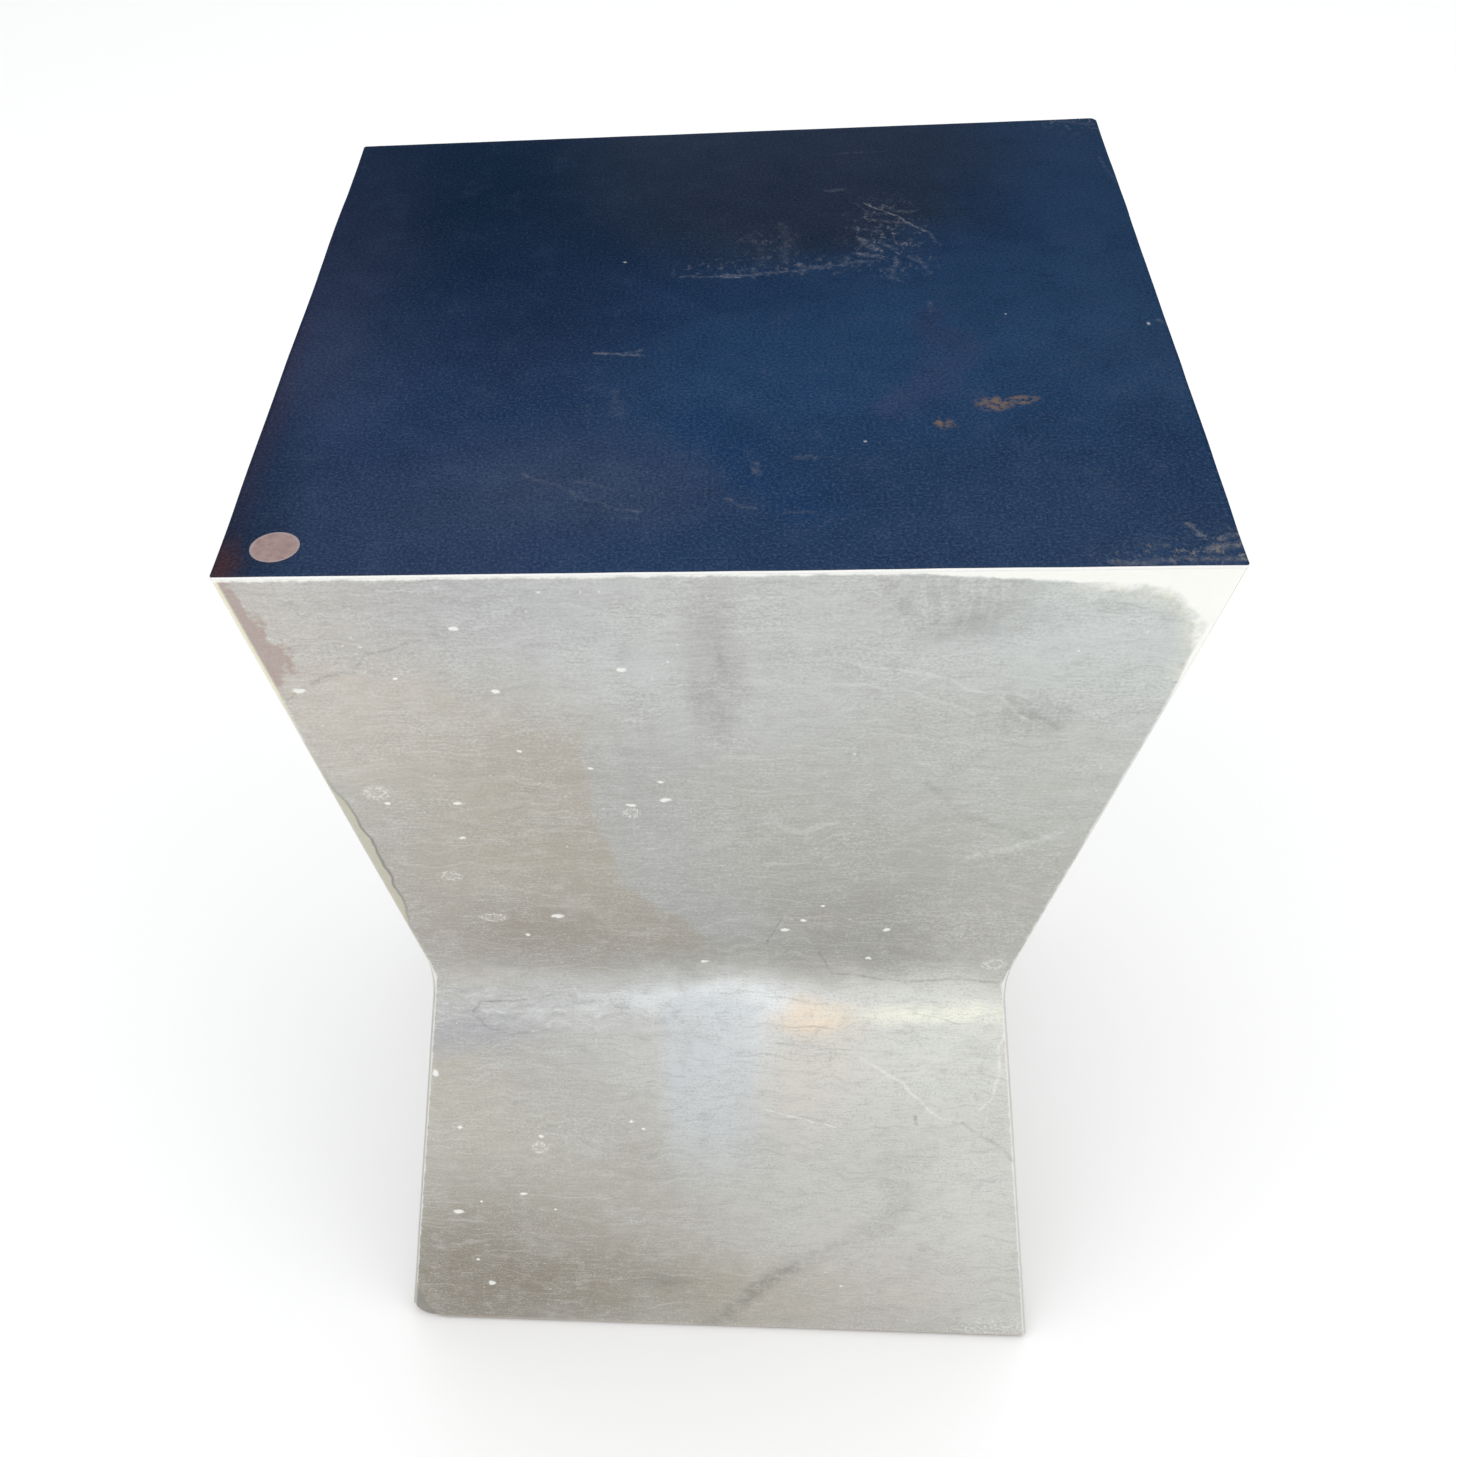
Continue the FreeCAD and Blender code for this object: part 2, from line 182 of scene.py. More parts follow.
def grid_piece(name, rows):
    """A mesh over rows of points of equal length."""
    count = len(rows[0])
    verts = [p for row in rows for p in row]
    corners = [i * count + j for i in range(len(rows) - 1) for j in range(count - 1)]
    return mesh_piece(name, verts, [(a, a + 1, a + count + 1, a + count) for a in corners])


def shell_piece(name, outer, inner, keep=None):
    """A sheet between two grids of points, its cut rim closed and its sharp edges eased."""
    rows, columns = len(outer), len(outer[0])
    verts = [p for grid in (outer, inner) for row in grid for p in row]
    behind = rows * columns
    faces, rim = [], {}
    for i in range(rows - 1):
        for j in range(columns - 1):
            if keep is None or keep(i, j):
                a = i * columns + j
                cell = (a, a + 1, a + columns + 1, a + columns)
                faces.append(cell)
                faces.append(tuple(behind + v for v in cell[::-1]))
                for first, second in zip(cell, cell[1:] + cell[:1]):
                    if (second, first) in rim:
                        del rim[(second, first)]
                    else:
                        rim[(first, second)] = True
    faces += [(second, first, behind + first, behind + second) for first, second in rim]
    piece = mesh_piece(name, verts, faces)
    work = bmesh.new()
    work.from_mesh(piece.data)
    bmesh.ops.delete(work, geom=[v for v in work.verts if not v.link_faces], context="VERTS")
    work.to_mesh(piece.data)
    work.free()
    ease = piece.modifiers.new("eased_edges", "BEVEL")
    ease.width = EDGE_EASE
    ease.segments = 3
    ease.limit_method = "ANGLE"
    ease.angle_limit = math.radians(50)
    ease.use_clamp_overlap = False
    return smooth_shaded(piece)


def mount_piece(piece, node, material):
    """Ties a rebuilt piece to the frame."""
    piece.data.materials.append(material)
    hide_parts(node)
    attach(piece, "root")


def lap_sheet(name, end):
    """Front (end -1) or rear (end 1) sheet, which laps over the side sheets' flanges."""
    face = "front" if end < 0 else "rear"
    columns = 84
    outer, inner = [], []
    for z in heights():
        left, right = (surface(side, end * skin(z), z) - REVEAL / COS_LEAN for side in ("left", "right"))
        if end < 0:
            left -= snip_limit(z)
        else:
            right -= snip_limit(z)
        across = [-left + (left + right) * j / columns for j in range(columns + 1)]
        if end > 0:
            across.reverse()
        outer.append([(x, end * surface(face, x, z), z) for x in across])
        inner.append([(x, end * skin(z, SHEET), z) for x in across])
    return shell_piece(name, outer, inner)


def side_distances(length):
    """Distances from a fold along the side sheet: close at the rounded corner, then even."""
    near = [FOLD_RADIUS + (FLANGE_SNIP - FOLD_RADIUS) * (k / 6) ** 1.4 for k in range(1, 7)]
    steps = 76
    span = length - 2 * FLANGE_SNIP
    return near, [FLANGE_SNIP + span * k / steps for k in range(1, steps)]


def folded_sheet(name, side):
    """Left (side -1) or right (side 1) sheet, with a flange at each vertical edge."""
    face = "left" if side < 0 else "right"
    length = 2 * skin(SKIN_LOW)
    near, even = side_distances(length)
    arc = [math.radians(a) for a in range(0, 91, 15)]
    snip_end = side                             # the end where the lower corner is rounded
    half_path = ([("flange", d) for d in [FLANGE_WIDTH] + near[::-1]]
                 + [("arc", a) for a in arc] + [("side", d) for d in near])
    path = [(-1, kind, value) for kind, value in half_path]
    path += [(0, "side", d) for d in even]
    path += [(1, kind, value) for kind, value in half_path[::-1]]
    zs = heights()

    def place(end, kind, value, z, under):
        """Point of the sheet's outer surface, or of its inner one, as (distance out, y)."""
        depth = skin(z, SHEET)
        if end == 0:
            y = depth * (2 * value / length - 1)
            return skin(z, SHEET) if under else surface(face, y, z), y
        out = surface(face, end * depth, z)
        if kind == "flange":
            return out - value, end * skin(z, 2 * SHEET if under else SHEET)
        if kind == "side":
            y = end * (depth - value)
            return skin(z, SHEET) if under else surface(face, y, z), y
        if under:
            out, depth, radius = skin(z, SHEET), skin(z, 2 * SHEET), INNER_FOLD
        else:
            radius = FOLD_RADIUS
        return out - radius * (1 - math.sin(value)), end * (depth - radius * (1 - math.cos(value)))

    outer, inner = [], []
    for z in zs:
        fade = max(0.0, 1.0 - (z - SKIN_LOW) / SNIP_FADE)
        for rows, under in ((outer, False), (inner, True)):
            row = []
            for end, kind, value in path:
                reach = FOLD_RADIUS * 0.7 if kind == "arc" else value
                lift = quarter_lift(reach) * fade if end == snip_end else 0.0
                out, y = place(end, kind, value, z + lift, under)
                row.append((side * out, y, z + lift))
            rows.append(row if side > 0 else row[::-1])
    flange_cells = len(near) + 1

    def keep(i, j):
        in_notch = abs((zs[i] + zs[i + 1]) / 2 - MID) < FLANGE_NOTCH / 2
        on_flange = j < flange_cells or j >= len(path) - 1 - flange_cells
        return not (in_notch and on_flange)

    return shell_piece(name, outer, inner, keep)


def top_outline():
    """Points round the top sheet's edge, corners rounded and sides a little wavy."""
    half = WIDTH / 2
    steps = 70
    sharpness = 60              # how soon a side's waviness fades round the corners
    points = []
    for corner in range(4):
        turn = math.radians(90 * corner)
        radius = TOP_WORN_RADIUS if corner == 2 else TOP_CORNER_RADIUS
        for a in range(0, 91, 15):
            angle = math.radians(a)
            x = -half + radius * (1 - math.cos(angle))
            y = -half + radius * (1 - math.sin(angle))
            points.append((x, y, turn))
        run = WIDTH - 2 * TOP_WORN_RADIUS
        for k in range(1, steps):
            points.append((-half + TOP_WORN_RADIUS + run * k / steps, -half, turn))
    outline = []
    for x, y, turn in points:
        u = x * math.cos(turn) - y * math.sin(turn)
        v = x * math.sin(turn) + y * math.cos(turn)
        near = max(abs(u), abs(v), 1e-9)
        u_pull = edge_wave("left" if u < 0 else "right", v)
        u_pull = (u_pull + TOP_SHORT * wave(v, 0, 83.0, 70 * MM)) * (abs(u) / near) ** sharpness
        v_pull = edge_wave("front" if v < 0 else "rear", u) * (abs(v) / near) ** sharpness
        outline.append((u - math.copysign(u_pull, u), v - math.copysign(v_pull, v)))
    return outline


def top_sheet(name):
    """Flat top sheet with its cut edge eased above and below."""
    outline = top_outline()
    outline.append(outline[0])
    ease = EDGE_EASE
    quarter = [math.radians(a) for a in (0, 22.5, 45, 67.5, 90)]
    half = WIDTH / 2
    flat = [half] + [2 * MM * 2 ** k for k in range(6, -1, -1)]
    rings = [(inset, HEIGHT) for inset in flat]
    rings += [(ease * (1 - math.sin(a)), HEIGHT - ease * (1 - math.cos(a))) for a in quarter]
    rings += [(ease * (1 - math.cos(a)), SKIN_HIGH + ease * (1 - math.sin(a))) for a in quarter]
    rings += [(inset, SKIN_HIGH) for inset in flat[::-1]]
    rows = []
    for inset, z in rings:
        scale = max(1 - inset / half, 0.002)
        rows.append([(u * scale, v * scale, z) for u, v in outline])
    return welded(grid_piece(name, rows), 0.001 * MM)


def label_disc(name):
    """Round paper label, its surface rippling a hair."""
    low, high = (Vector(c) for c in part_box("price_label"))
    centre = (low + high) / 2
    radius = (high.x - low.x) / 2
    thick = high.z - low.z
    rings, spokes = 14, 72
    rows = []
    for i in range(rings + 1):
        r = max(radius * i / rings, 0.02 * MM)
        row = []
        for j in range(spokes + 1):
            a = -2 * math.pi * j / spokes
            x, y = centre.x + r * math.cos(a), centre.y + r * math.sin(a)
            wrinkle = 0.25 * wave(x, y, 71.0, 5 * MM)
            row.append((x, y, high.z - thick * wrinkle))
        rows.append(row)
    piece = welded(grid_piece(name, rows), 0.05 * MM)
    solid = piece.modifiers.new("thickness", "SOLIDIFY")
    solid.thickness = thick * 0.7
    solid.offset = -1.0
    return piece


# ---- Shader graph helper ----
class Graph:
    """Short calls that add shader nodes and return their output sockets."""

    def __init__(self, name):
        self.material = bpy.data.materials.new(name)
        self.material.use_nodes = True
        self.tree = self.material.node_tree
        self.shader = self.tree.nodes["Principled BSDF"]
        self.object_point = self.node("TexCoord", {})["Object"]
        self.colour = None

    def feed(self, socket, value):
        """Link another node's output to a socket, or set the socket to a constant."""
        if isinstance(value, bpy.types.NodeSocket):
            self.tree.links.new(value, socket)
        else:
            socket.default_value = (*value, 1) if socket.type == "RGBA" else value

    def node(self, kind, values, **settings):
        """Add a node, set it up and feed its inputs by name or number. Returns its outputs."""
        node = self.tree.nodes.new("ShaderNode" + kind)
        for name, setting in settings.items():
            setattr(node, name, setting)
        for key, value in values.items():
            self.feed(node.inputs[key], value)
        return node.outputs

    def math(self, operation, *values):
        return self.node("Math", dict(enumerate(values)), operation=operation)[0]

    def times(self, first, *others):
        """The product of two or more values."""
        for other in others:
            first = self.math("MULTIPLY", first, other)
        return first

    def most(self, first, *others):
        """The largest of two or more values."""
        for other in others:
            first = self.math("MAXIMUM", first, other)
        return first

    def plus(self, first, second):
        return self.math("ADD", first, second)

    def minus(self, first, second):
        return self.math("SUBTRACT", first, second)

    def off(self, first, second):
        """How far two values are apart."""
        return self.math("ABSOLUTE", self.minus(first, second))

    def stretch(self, vector, across, up):
        return self.vector("MULTIPLY", vector, (across, up, 1))

    def vector(self, operation, *values):
        sockets = (0, 3) if operation == "SCALE" else (0, 1, 2)
        outputs = self.node("VectorMath", dict(zip(sockets, values)), operation=operation)
        return outputs["Value" if operation in ("LENGTH", "DOT_PRODUCT") else "Vector"]

    def split(self, vector):
        return self.node("SeparateXYZ", {0: vector})

    def join(self, x, y, z):
        return self.node("CombineXYZ", {0: x, 1: y, 2: z})[0]

    def noise(self, vector, scale, detail=3, rough=0.5, distortion=0):
        values = {"Vector": vector, "Scale": scale, "Detail": detail, "Roughness": rough,
                  "Distortion": distortion}
        return self.node("TexNoise", values)["Fac"]

    def noise_vector(self, vector, scale):
        return self.node("TexNoise", {"Vector": vector, "Scale": scale})["Color"]

    def band(self, value, start, full, late, end):
        """1 between full and late, fading to 0 at start and at end."""
        return self.times(self.smooth(value, start, full), self.smooth(value, end, late))

    def warp(self, vector, scale, reach):
        """The point moved about by noise, up to half of reach each way."""
        wander = self.vector("SUBTRACT", self.noise_vector(vector, scale), (0.5, 0.5, 0.5))
        return self.vector("MULTIPLY_ADD", wander, (reach, reach, 0), vector)

    def cells(self, vector, scale):
        """(distance to the nearest random point, a random colour for each)."""
        outputs = self.node("TexVoronoi", {"Vector": vector, "Scale": scale})
        return outputs["Distance"], outputs["Color"]

    def smooth(self, value, low, high, out_low=0, out_high=1):
        """A soft step from out_low at low to out_high at high, where low may be the larger.

        It isn't clamped, because a smooth step never leaves its range.
        """
        values = dict(enumerate((value, low, high, out_low, out_high)))
        return self.node("MapRange", values, interpolation_type="SMOOTHSTEP", clamp=False)[0]

    def blend(self, mask, first, second):
        return self.node("Mix", {0: mask, 6: first, 7: second}, data_type="RGBA")[2]

    def tint(self, mask, colour, strength=1):
        """Lay a colour over the running one, where the mask says."""
        if strength != 1:
            mask = self.times(mask, strength)
        self.colour = self.blend(mask, self.colour, colour)

    def tint_by(self, value, *tones, where=None):
        """Lay colours where a value passes their steps: (start, full, colour, strength) each."""
        for start, full, colour, strength in tones:
            step = self.smooth(value, start, full)
            self.tint(step if where is None else self.times(step, where), colour, strength)

    def reach(self, point, place):
        """How far out in an ellipse (across, up, half width, half height) a point is, 1 at its edge."""
        across, up, half_width, half_height = place
        offset = self.vector("SUBTRACT", point, (across, up, 0))
        return self.vector("LENGTH", self.vector("DIVIDE", offset, (half_width, half_height, 1)))

    def ellipse(self, point, place, soft=0.8):
        """1 inside an ellipse, 0 outside it, with an edge that is soft times its size."""
        return self.smooth(self.reach(point, place), 1 + soft, 1 - soft)

    def spots(self, point, places, soft):
        """The union of small ellipses, and how far out a point is in the nearest."""
        nearest = self.reach(point, places[0])
        for place in places[1:]:
            nearest = self.math("MINIMUM", nearest, self.reach(point, place))
        return self.smooth(nearest, 1 + soft, 1 - soft), nearest

    def line(self, point, stops, half_width):
        """1 on a line through the stops, fading to 0 at half_width from it."""
        nearest = None
        for start, end in zip(stops, stops[1:]):
            run = Vector(end) - Vector(start)
            offset = self.vector("SUBTRACT", point, (*start, 0))
            along = self.vector("DOT_PRODUCT", offset, (*(run / run.length_squared), 0))
            along = self.math("MINIMUM", self.math("MAXIMUM", along, 0), 1)
            foot = self.vector("SCALE", (*run, 0), along)
            gap = self.vector("LENGTH", self.vector("SUBTRACT", offset, foot))
            nearest = gap if nearest is None else self.math("MINIMUM", nearest, gap)
        return self.smooth(nearest, half_width, 0)

    def finish(self, colour, metallic, roughness, height=None, depth=0, glancing=None):
        """Feed the shader. glancing is the metal's tint at grazing angles."""
        values = {"Base Color": colour, "Metallic": metallic, "Roughness": roughness}
        if glancing:
            values["Specular Tint"] = glancing
        if height is not None:
            values["Normal"] = self.node("Bump", {"Distance": depth, "Height": height})[0]
        for name, value in values.items():
            self.feed(self.shader.inputs[name], value)
        return self.material


# ---- Materials ----
WARM_GREY = (0.5, 0.485, 0.445)
COOL_GREY = (0.52, 0.535, 0.525)
PALE_GREY = (0.66, 0.675, 0.66)
DULL_GREY = (0.35, 0.352, 0.337)
CHALK = (0.9, 0.9, 0.86)
DARK_MARK = (0.22, 0.22, 0.2)
PALE_MARK = (0.74, 0.76, 0.73)
# the top's navy is a painted reflection of a blue sky on polished metal
SKY_REFLECTION_NAVY = (0.017, 0.032, 0.07)
DEEP_SKY_REFLECTION_NAVY = (0.014, 0.028, 0.062)
SCUFF = (0.24, 0.23, 0.235)


def face_point(graph, axis, shift):
    """(across, up, 0) in millimetres on a face that spans axis, and the same shifted for noise."""
    x, y, z = graph.split(graph.object_point)
    point = graph.join(graph.times(x if axis == "x" else y, 1 / MM), graph.times(z, 1 / MM), 0)
    return point, graph.vector("ADD", point, (shift, 2 * shift, shift))


def edge_distance(graph, across, up):
    """Millimetres from a point of a face in to the nearer leaning edge."""
    low_side = graph.math("MINIMUM", up, graph.minus(HEIGHT / MM, up))
    half = graph.minus(WIDTH / 2 / MM, graph.times(low_side, LEAN))
    return graph.minus(half, graph.math("ABSOLUTE", across))


def brushed_wear(graph, field, warped):
    """Haze, mottling, level brushing and grain of worn satin metal. Returns the haze and the streaks."""
    haze = graph.noise(warped, 0.022, 5, 0.62)
    graph.tint_by(haze, (0.52, 0.78, PALE_GREY, 0.4), (0.48, 0.25, DULL_GREY, 0.3))
    mottle = graph.noise(field, 0.1, 6, 0.75)
    graph.tint_by(mottle, (0.5, 0.7, PALE_GREY, 0.3), (0.5, 0.3, DULL_GREY, 0.35))
    brushing = graph.noise(graph.stretch(warped, 0.05, 1), 0.3, 5, 0.75)
    graph.tint_by(brushing, (0.5, 0.72, PALE_GREY, 0.4), (0.5, 0.28, DULL_GREY, 0.45))
    patchy = graph.smooth(graph.noise(warped, 0.035, 4, 0.6), 0.35, 0.65, 0.45, 1)
    streaks = graph.noise(graph.stretch(field, 0.12, 1), 0.75, 4, 0.8)
    graph.tint_by(streaks, (0.48, 0.66, PALE_GREY, 0.42), (0.52, 0.34, DULL_GREY, 0.42), where=patchy)
    grain = graph.noise(graph.stretch(field, 0.75, 1), 0.8, 2, 0.9)
    graph.tint_by(grain, (0.5, 0.66, PALE_GREY, 0.5), (0.5, 0.34, DULL_GREY, 0.5), where=patchy)
    return haze, streaks


def specks(graph, field):
    """Masks of scattered dried specks, and of the finer crumbs that crowd in places."""
    loose = graph.warp(field, 0.5, 2.4)
    distance, random = graph.cells(loose, 0.024)
    size = graph.smooth(graph.split(random)[0], 0.55, 1, 0, 0.034)
    fleck = graph.smooth(graph.minus(distance, size), 0.004, -0.012)
    dust, dust_random = graph.cells(loose, 0.2)
    dust_size = graph.smooth(graph.split(dust_random)[1], 0.45, 1, 0, 0.14)
    crumbs = graph.smooth(graph.minus(dust, dust_size), 0.01, -0.06)
    crowded = graph.smooth(graph.noise(field, 0.012, 2), 0.42, 0.62)
    return fleck, graph.times(crumbs, graph.math("MULTIPLY_ADD", crowded, 0.55, 0.12))


def satin_aluminium(name, axis, shift, folds, tones, marks):
    """Worn satin sheet: tarnish, brushing, painted shade above the waist bend and a painted highlight
    below it, bright folds, specks, and one face's own tones and marks.

    folds are the colours of the folds below the waist and above it, partly worn metal and partly painted
    highlight.
    """
    graph = Graph(name)
    point, field = face_point(graph, axis, shift)
    warped = graph.warp(field, 0.03, 30)
    across, up, _ = graph.split(point)
    edge = edge_distance(graph, across, up)

    clouds = graph.noise(warped, 0.006, 4, 0.55)
    graph.colour = graph.blend(graph.smooth(clouds, 0.38, 0.62), WARM_GREY, COOL_GREY)
    above = graph.minus(up, MID / MM)
    # painted shade: a darker band just above the waist bend; painted highlight: a pale band just below it
    graph.tint(graph.band(above, 0, 24, 30, 180), (0.37, 0.36, 0.33), 0.4)
    graph.tint(graph.smooth(graph.off(above, -20), 30, 4), PALE_GREY, 0.5)
    tones(graph, point, field)
    graph.tint(1, (0.12, 0.085, 0.06), 0.048)     # a thin even film of dirt
    haze, streaks = brushed_wear(graph, field, warped)

    # folds and cut edges painted bright, partly worn metal and partly painted highlight, and the flanges
    # behind them painted darker as shade
    ragged = graph.noise(field, 0.12, 4, 0.6)
    worn_and_highlit = graph.smooth(edge, graph.smooth(ragged, 0.3, 0.7, 2, 3.4), 1.6)
    fold_wear_and_highlight = graph.blend(graph.smooth(above, -20, 40), *folds)
    graph.tint(worn_and_highlit, fold_wear_and_highlight, 0.75)
    cut = graph.smooth(up, SKIN_LOW / MM + 2.2, SKIN_LOW / MM + 0.6)
    graph.tint(cut, (0.6, 0.54, 0.48), 0.6)
    if axis == "y":
        x, _, _ = graph.split(graph.object_point)
        tucked = edge_distance(graph, graph.times(x, 1 / MM), up)
        # painted shade on the side sheets' flanges tucked behind the front and rear sheets
        graph.tint(graph.smooth(tucked, 1.6, 3), (0.3, 0.29, 0.26))

    fleck, crumbs = specks(graph, field)
    chalk = graph.most(fleck, crumbs, marks(graph, point, field, edge))
    graph.tint(chalk, CHALK, 0.85)

    rough = graph.smooth(haze, 0.3, 0.75, 0.3, 0.42)
    rough = graph.plus(rough, graph.smooth(streaks, 0.3, 0.7, -0.04, 0.05))
    rough = graph.math("MULTIPLY_ADD", chalk, 0.25, rough)
    metallic = graph.minus(1, graph.times(chalk, 0.8))
    relief = graph.math("MULTIPLY_ADD", fleck, 0.6, streaks)
    return graph.finish(graph.colour, metallic, rough, relief, 0.02 * MM)


# Broad tones of the front sheet, partly tarnish and partly painted reflections, highlights and shade:
# place, colour, strength, and the edge's softness where it isn't the usual one. A place is (across, up,
# half width, half height) in millimetres, here and below.
FRONT_TONES = [
    ((-20, 560, 230, 48), (0.51, 0.515, 0.505), 0.85),
    ((-110, 588, 80, 16), (0.43, 0.43, 0.45), 0.6),
    ((10, 562, 110, 50), (0.6, 0.615, 0.615), 0.6),
    ((62, 428, 84, 42), (0.36, 0.362, 0.345), 0.5),
    ((-50, 240, 26, 30), (0.46, 0.465, 0.46), 0.4),
    ((-142, 500, 40, 34), (0.62, 0.575, 0.5), 0.5),
    ((-60, 92, 74, 44), (0.54, 0.5, 0.43), 0.45),
    ((-30, 525, 44, 40), (0.6, 0.625, 0.635), 0.7),
    ((25, 575, 60, 30), (0.55, 0.56, 0.545), 0.7),
    ((160, 565, 60, 60), (0.6, 0.645, 0.635), 0.8, 0.7),
    ((-165, 558, 45, 50), (0.575, 0.53, 0.475), 0.75, 0.7),
    ((-105, 575, 50, 26), (0.49, 0.485, 0.5), 0.6),
    ((-150, 507, 42, 32), (0.59, 0.545, 0.475), 0.85),
    ((-92, 480, 62, 50), (0.5, 0.465, 0.405), 0.8),
    ((-105, 412, 80, 60), (0.455, 0.415, 0.34), 0.8),
    # painted shade above the waist bend, in this row and at (90, 340)
    ((-80, 343, 90, 30), (0.345, 0.31, 0.26), 0.9),
    ((-150, 350, 26, 60), (0.425, 0.39, 0.345), 0.7),
    ((60, 445, 90, 60), (0.46, 0.46, 0.43), 0.8),
    ((60, 392, 60, 40), (0.395, 0.39, 0.36), 0.6),
    ((90, 340, 90, 38), (0.315, 0.31, 0.275), 0.8),
    ((145, 365, 36, 60), (0.445, 0.445, 0.395), 0.75),
    ((20, 520, 50, 34), (0.545, 0.555, 0.54), 0.7),
    ((135, 490, 66, 42), (0.515, 0.53, 0.5), 0.75),
    ((150, 445, 30, 26), (0.5, 0.52, 0.485), 0.6),
    ((-130, 282, 60, 24), (0.49, 0.485, 0.475), 0.7),
    ((-66, 280, 60, 20), (0.54, 0.55, 0.55), 0.7),
    # painted highlights below the bend, here and at (25, 235), (62, 222) and (135, 225)
    ((100, 278, 70, 24), (0.84, 0.85, 0.79), 0.8),
    ((-95, 235, 60, 28), (0.465, 0.455, 0.44), 0.75),
    ((25, 235, 90, 60), (0.68, 0.68, 0.665), 0.8),
    ((62, 222, 34, 56), (0.73, 0.68, 0.6), 0.8),
    ((135, 225, 62, 66), (0.77, 0.785, 0.73), 0.85),
    ((110, 165, 74, 50), (0.61, 0.605, 0.57), 0.7),
    ((165, 110, 44, 80), (0.73, 0.735, 0.69), 0.8),
    ((80, 105, 66, 50), (0.655, 0.645, 0.605), 0.8),
    ((100, 42, 90, 34), (0.63, 0.6, 0.55), 0.8),
    ((184, 30, 30, 40), (0.63, 0.63, 0.59), 0.7),
    ((15, 110, 52, 50), (0.615, 0.61, 0.57), 0.8),
    ((10, 38, 60, 34), (0.49, 0.455, 0.385), 0.85),
    ((-62, 105, 62, 50), (0.46, 0.435, 0.385), 0.8),
    ((-62, 40, 62, 36), (0.365, 0.33, 0.265), 0.85),
    ((-105, 170, 66, 54), (0.485, 0.465, 0.405), 0.8),
    ((-152, 195, 36, 62), (0.53, 0.5, 0.43), 0.85),
    ((-150, 112, 52, 36), (0.42, 0.395, 0.335), 0.8),
    ((-160, 45, 84, 56), (0.265, 0.225, 0.165), 0.95),
    ((-150, 303, 50, 8), (0.56, 0.54, 0.47), 0.6, 0.7),
    # painted reflections along the bend: a dark violet one, then blue white, white, orange and cream
    # highlights
    ((-140, 258, 34, 15), (0.41, 0.41, 0.455), 0.7),
    ((5, 284, 52, 11), (0.93, 0.97, 1), 0.9),
    ((12, 268, 22, 32), (0.97, 1, 1), 0.65),
    ((54, 272, 21, 12), (0.97, 0.8, 0.62), 0.8),
    ((122, 276, 46, 7), (1, 1, 0.86), 0.9),
    ((0, 548, 11, 46), (0.41, 0.4, 0.39), 0.55, 0.5),
    ((-34, 48, 18, 6), (0.27, 0.265, 0.235), 0.6, 0.6),
    ((108, 570, 28, 9), (0.42, 0.44, 0.43), 0.5),
    ((134, 515, 14, 9), (0.4, 0.42, 0.41), 0.4),
    ((48, 358, 22, 8), (0.43, 0.38, 0.36), 0.5)]

# Scratches and smears of the front sheet: points, half width, colour, strength
FRONT_LINES = [
    (((-183, 527), (-166, 541), (-150, 545)), 1.5, DARK_MARK, 0.45),
    (((-150, 545), (-143, 556), (-120, 562)), 1.5, DARK_MARK, 0.4),
    (((1, 574), (2, 556), (4, 534)), 7, DARK_MARK, 0.12),
    (((2, 560), (3, 545)), 3, DARK_MARK, 0.25), (((-5, 530), (4, 512)), 14, DARK_MARK, 0.16),
    (((66, 592), (75, 578)), 6, DARK_MARK, 0.25),
    (((80, 558), (98, 568), (118, 582)), 7, DARK_MARK, 0.2),
    (((-134, 274), (-127, 282), (-104, 284), (-84, 288)), 1.3, DARK_MARK, 0.5),
    (((-134, 274), (-128, 262), (-112, 256), (-90, 262)), 1.5, DARK_MARK, 0.4),
    (((-112, 276), (-84, 274), (-60, 279)), 3, PALE_MARK, 0.35),
    (((122, 526), (145, 508)), 4, DARK_MARK, 0.3),
    (((96, 470), (110, 446), (150, 428)), 4, DARK_MARK, 0.28),
    (((34, 362), (27, 338)), 0.9, DARK_MARK, 0.6),
    (((54, 328), (62, 308), (100, 303), (148, 303)), 1.4, DARK_MARK, 0.45),
    (((82, 242), (105, 225), (120, 206), (129, 198)), 1.7, CHALK, 0.5),
    (((129, 198), (140, 196)), 2.4, PALE_MARK, 0.4),
    (((142, 194), (160, 180), (174, 164)), 2.4, DARK_MARK, 0.3),
    (((156, 264), (157, 236), (155, 212), (149, 203)), 1.5, CHALK, 0.5),
    (((114, 198), (116, 192)), 1.6, DARK_MARK, 0.6),
    (((30, 201), (72, 188)), 1, CHALK, 0.5),
    (((30, 254), (78, 250)), 0.9, DARK_MARK, 0.35),
    (((-6, 2), (8, 14), (22, 34), (34, 50), (48, 62)), 10, DARK_MARK, 0.44),
    (((48, 62), (86, 92), (106, 108), (114, 134)), 14, DARK_MARK, 0.2),
    (((24, 40), (36, 52)), 8, DARK_MARK, 0.35),
    (((60, 545), (90, 541), (118, 527), (134, 511)), 1.6, PALE_MARK, 0.35),
    (((48, 536), (84, 531), (108, 517)), 1.4, PALE_MARK, 0.28),
    (((118, 413), (140, 420), (160, 433)), 4, PALE_MARK, 0.4),
    (((-150, 240), (-90, 232)), 1, PALE_MARK, 0.25),
    (((-116, 124), (-62, 122)), 0.8, PALE_MARK, 0.45)]

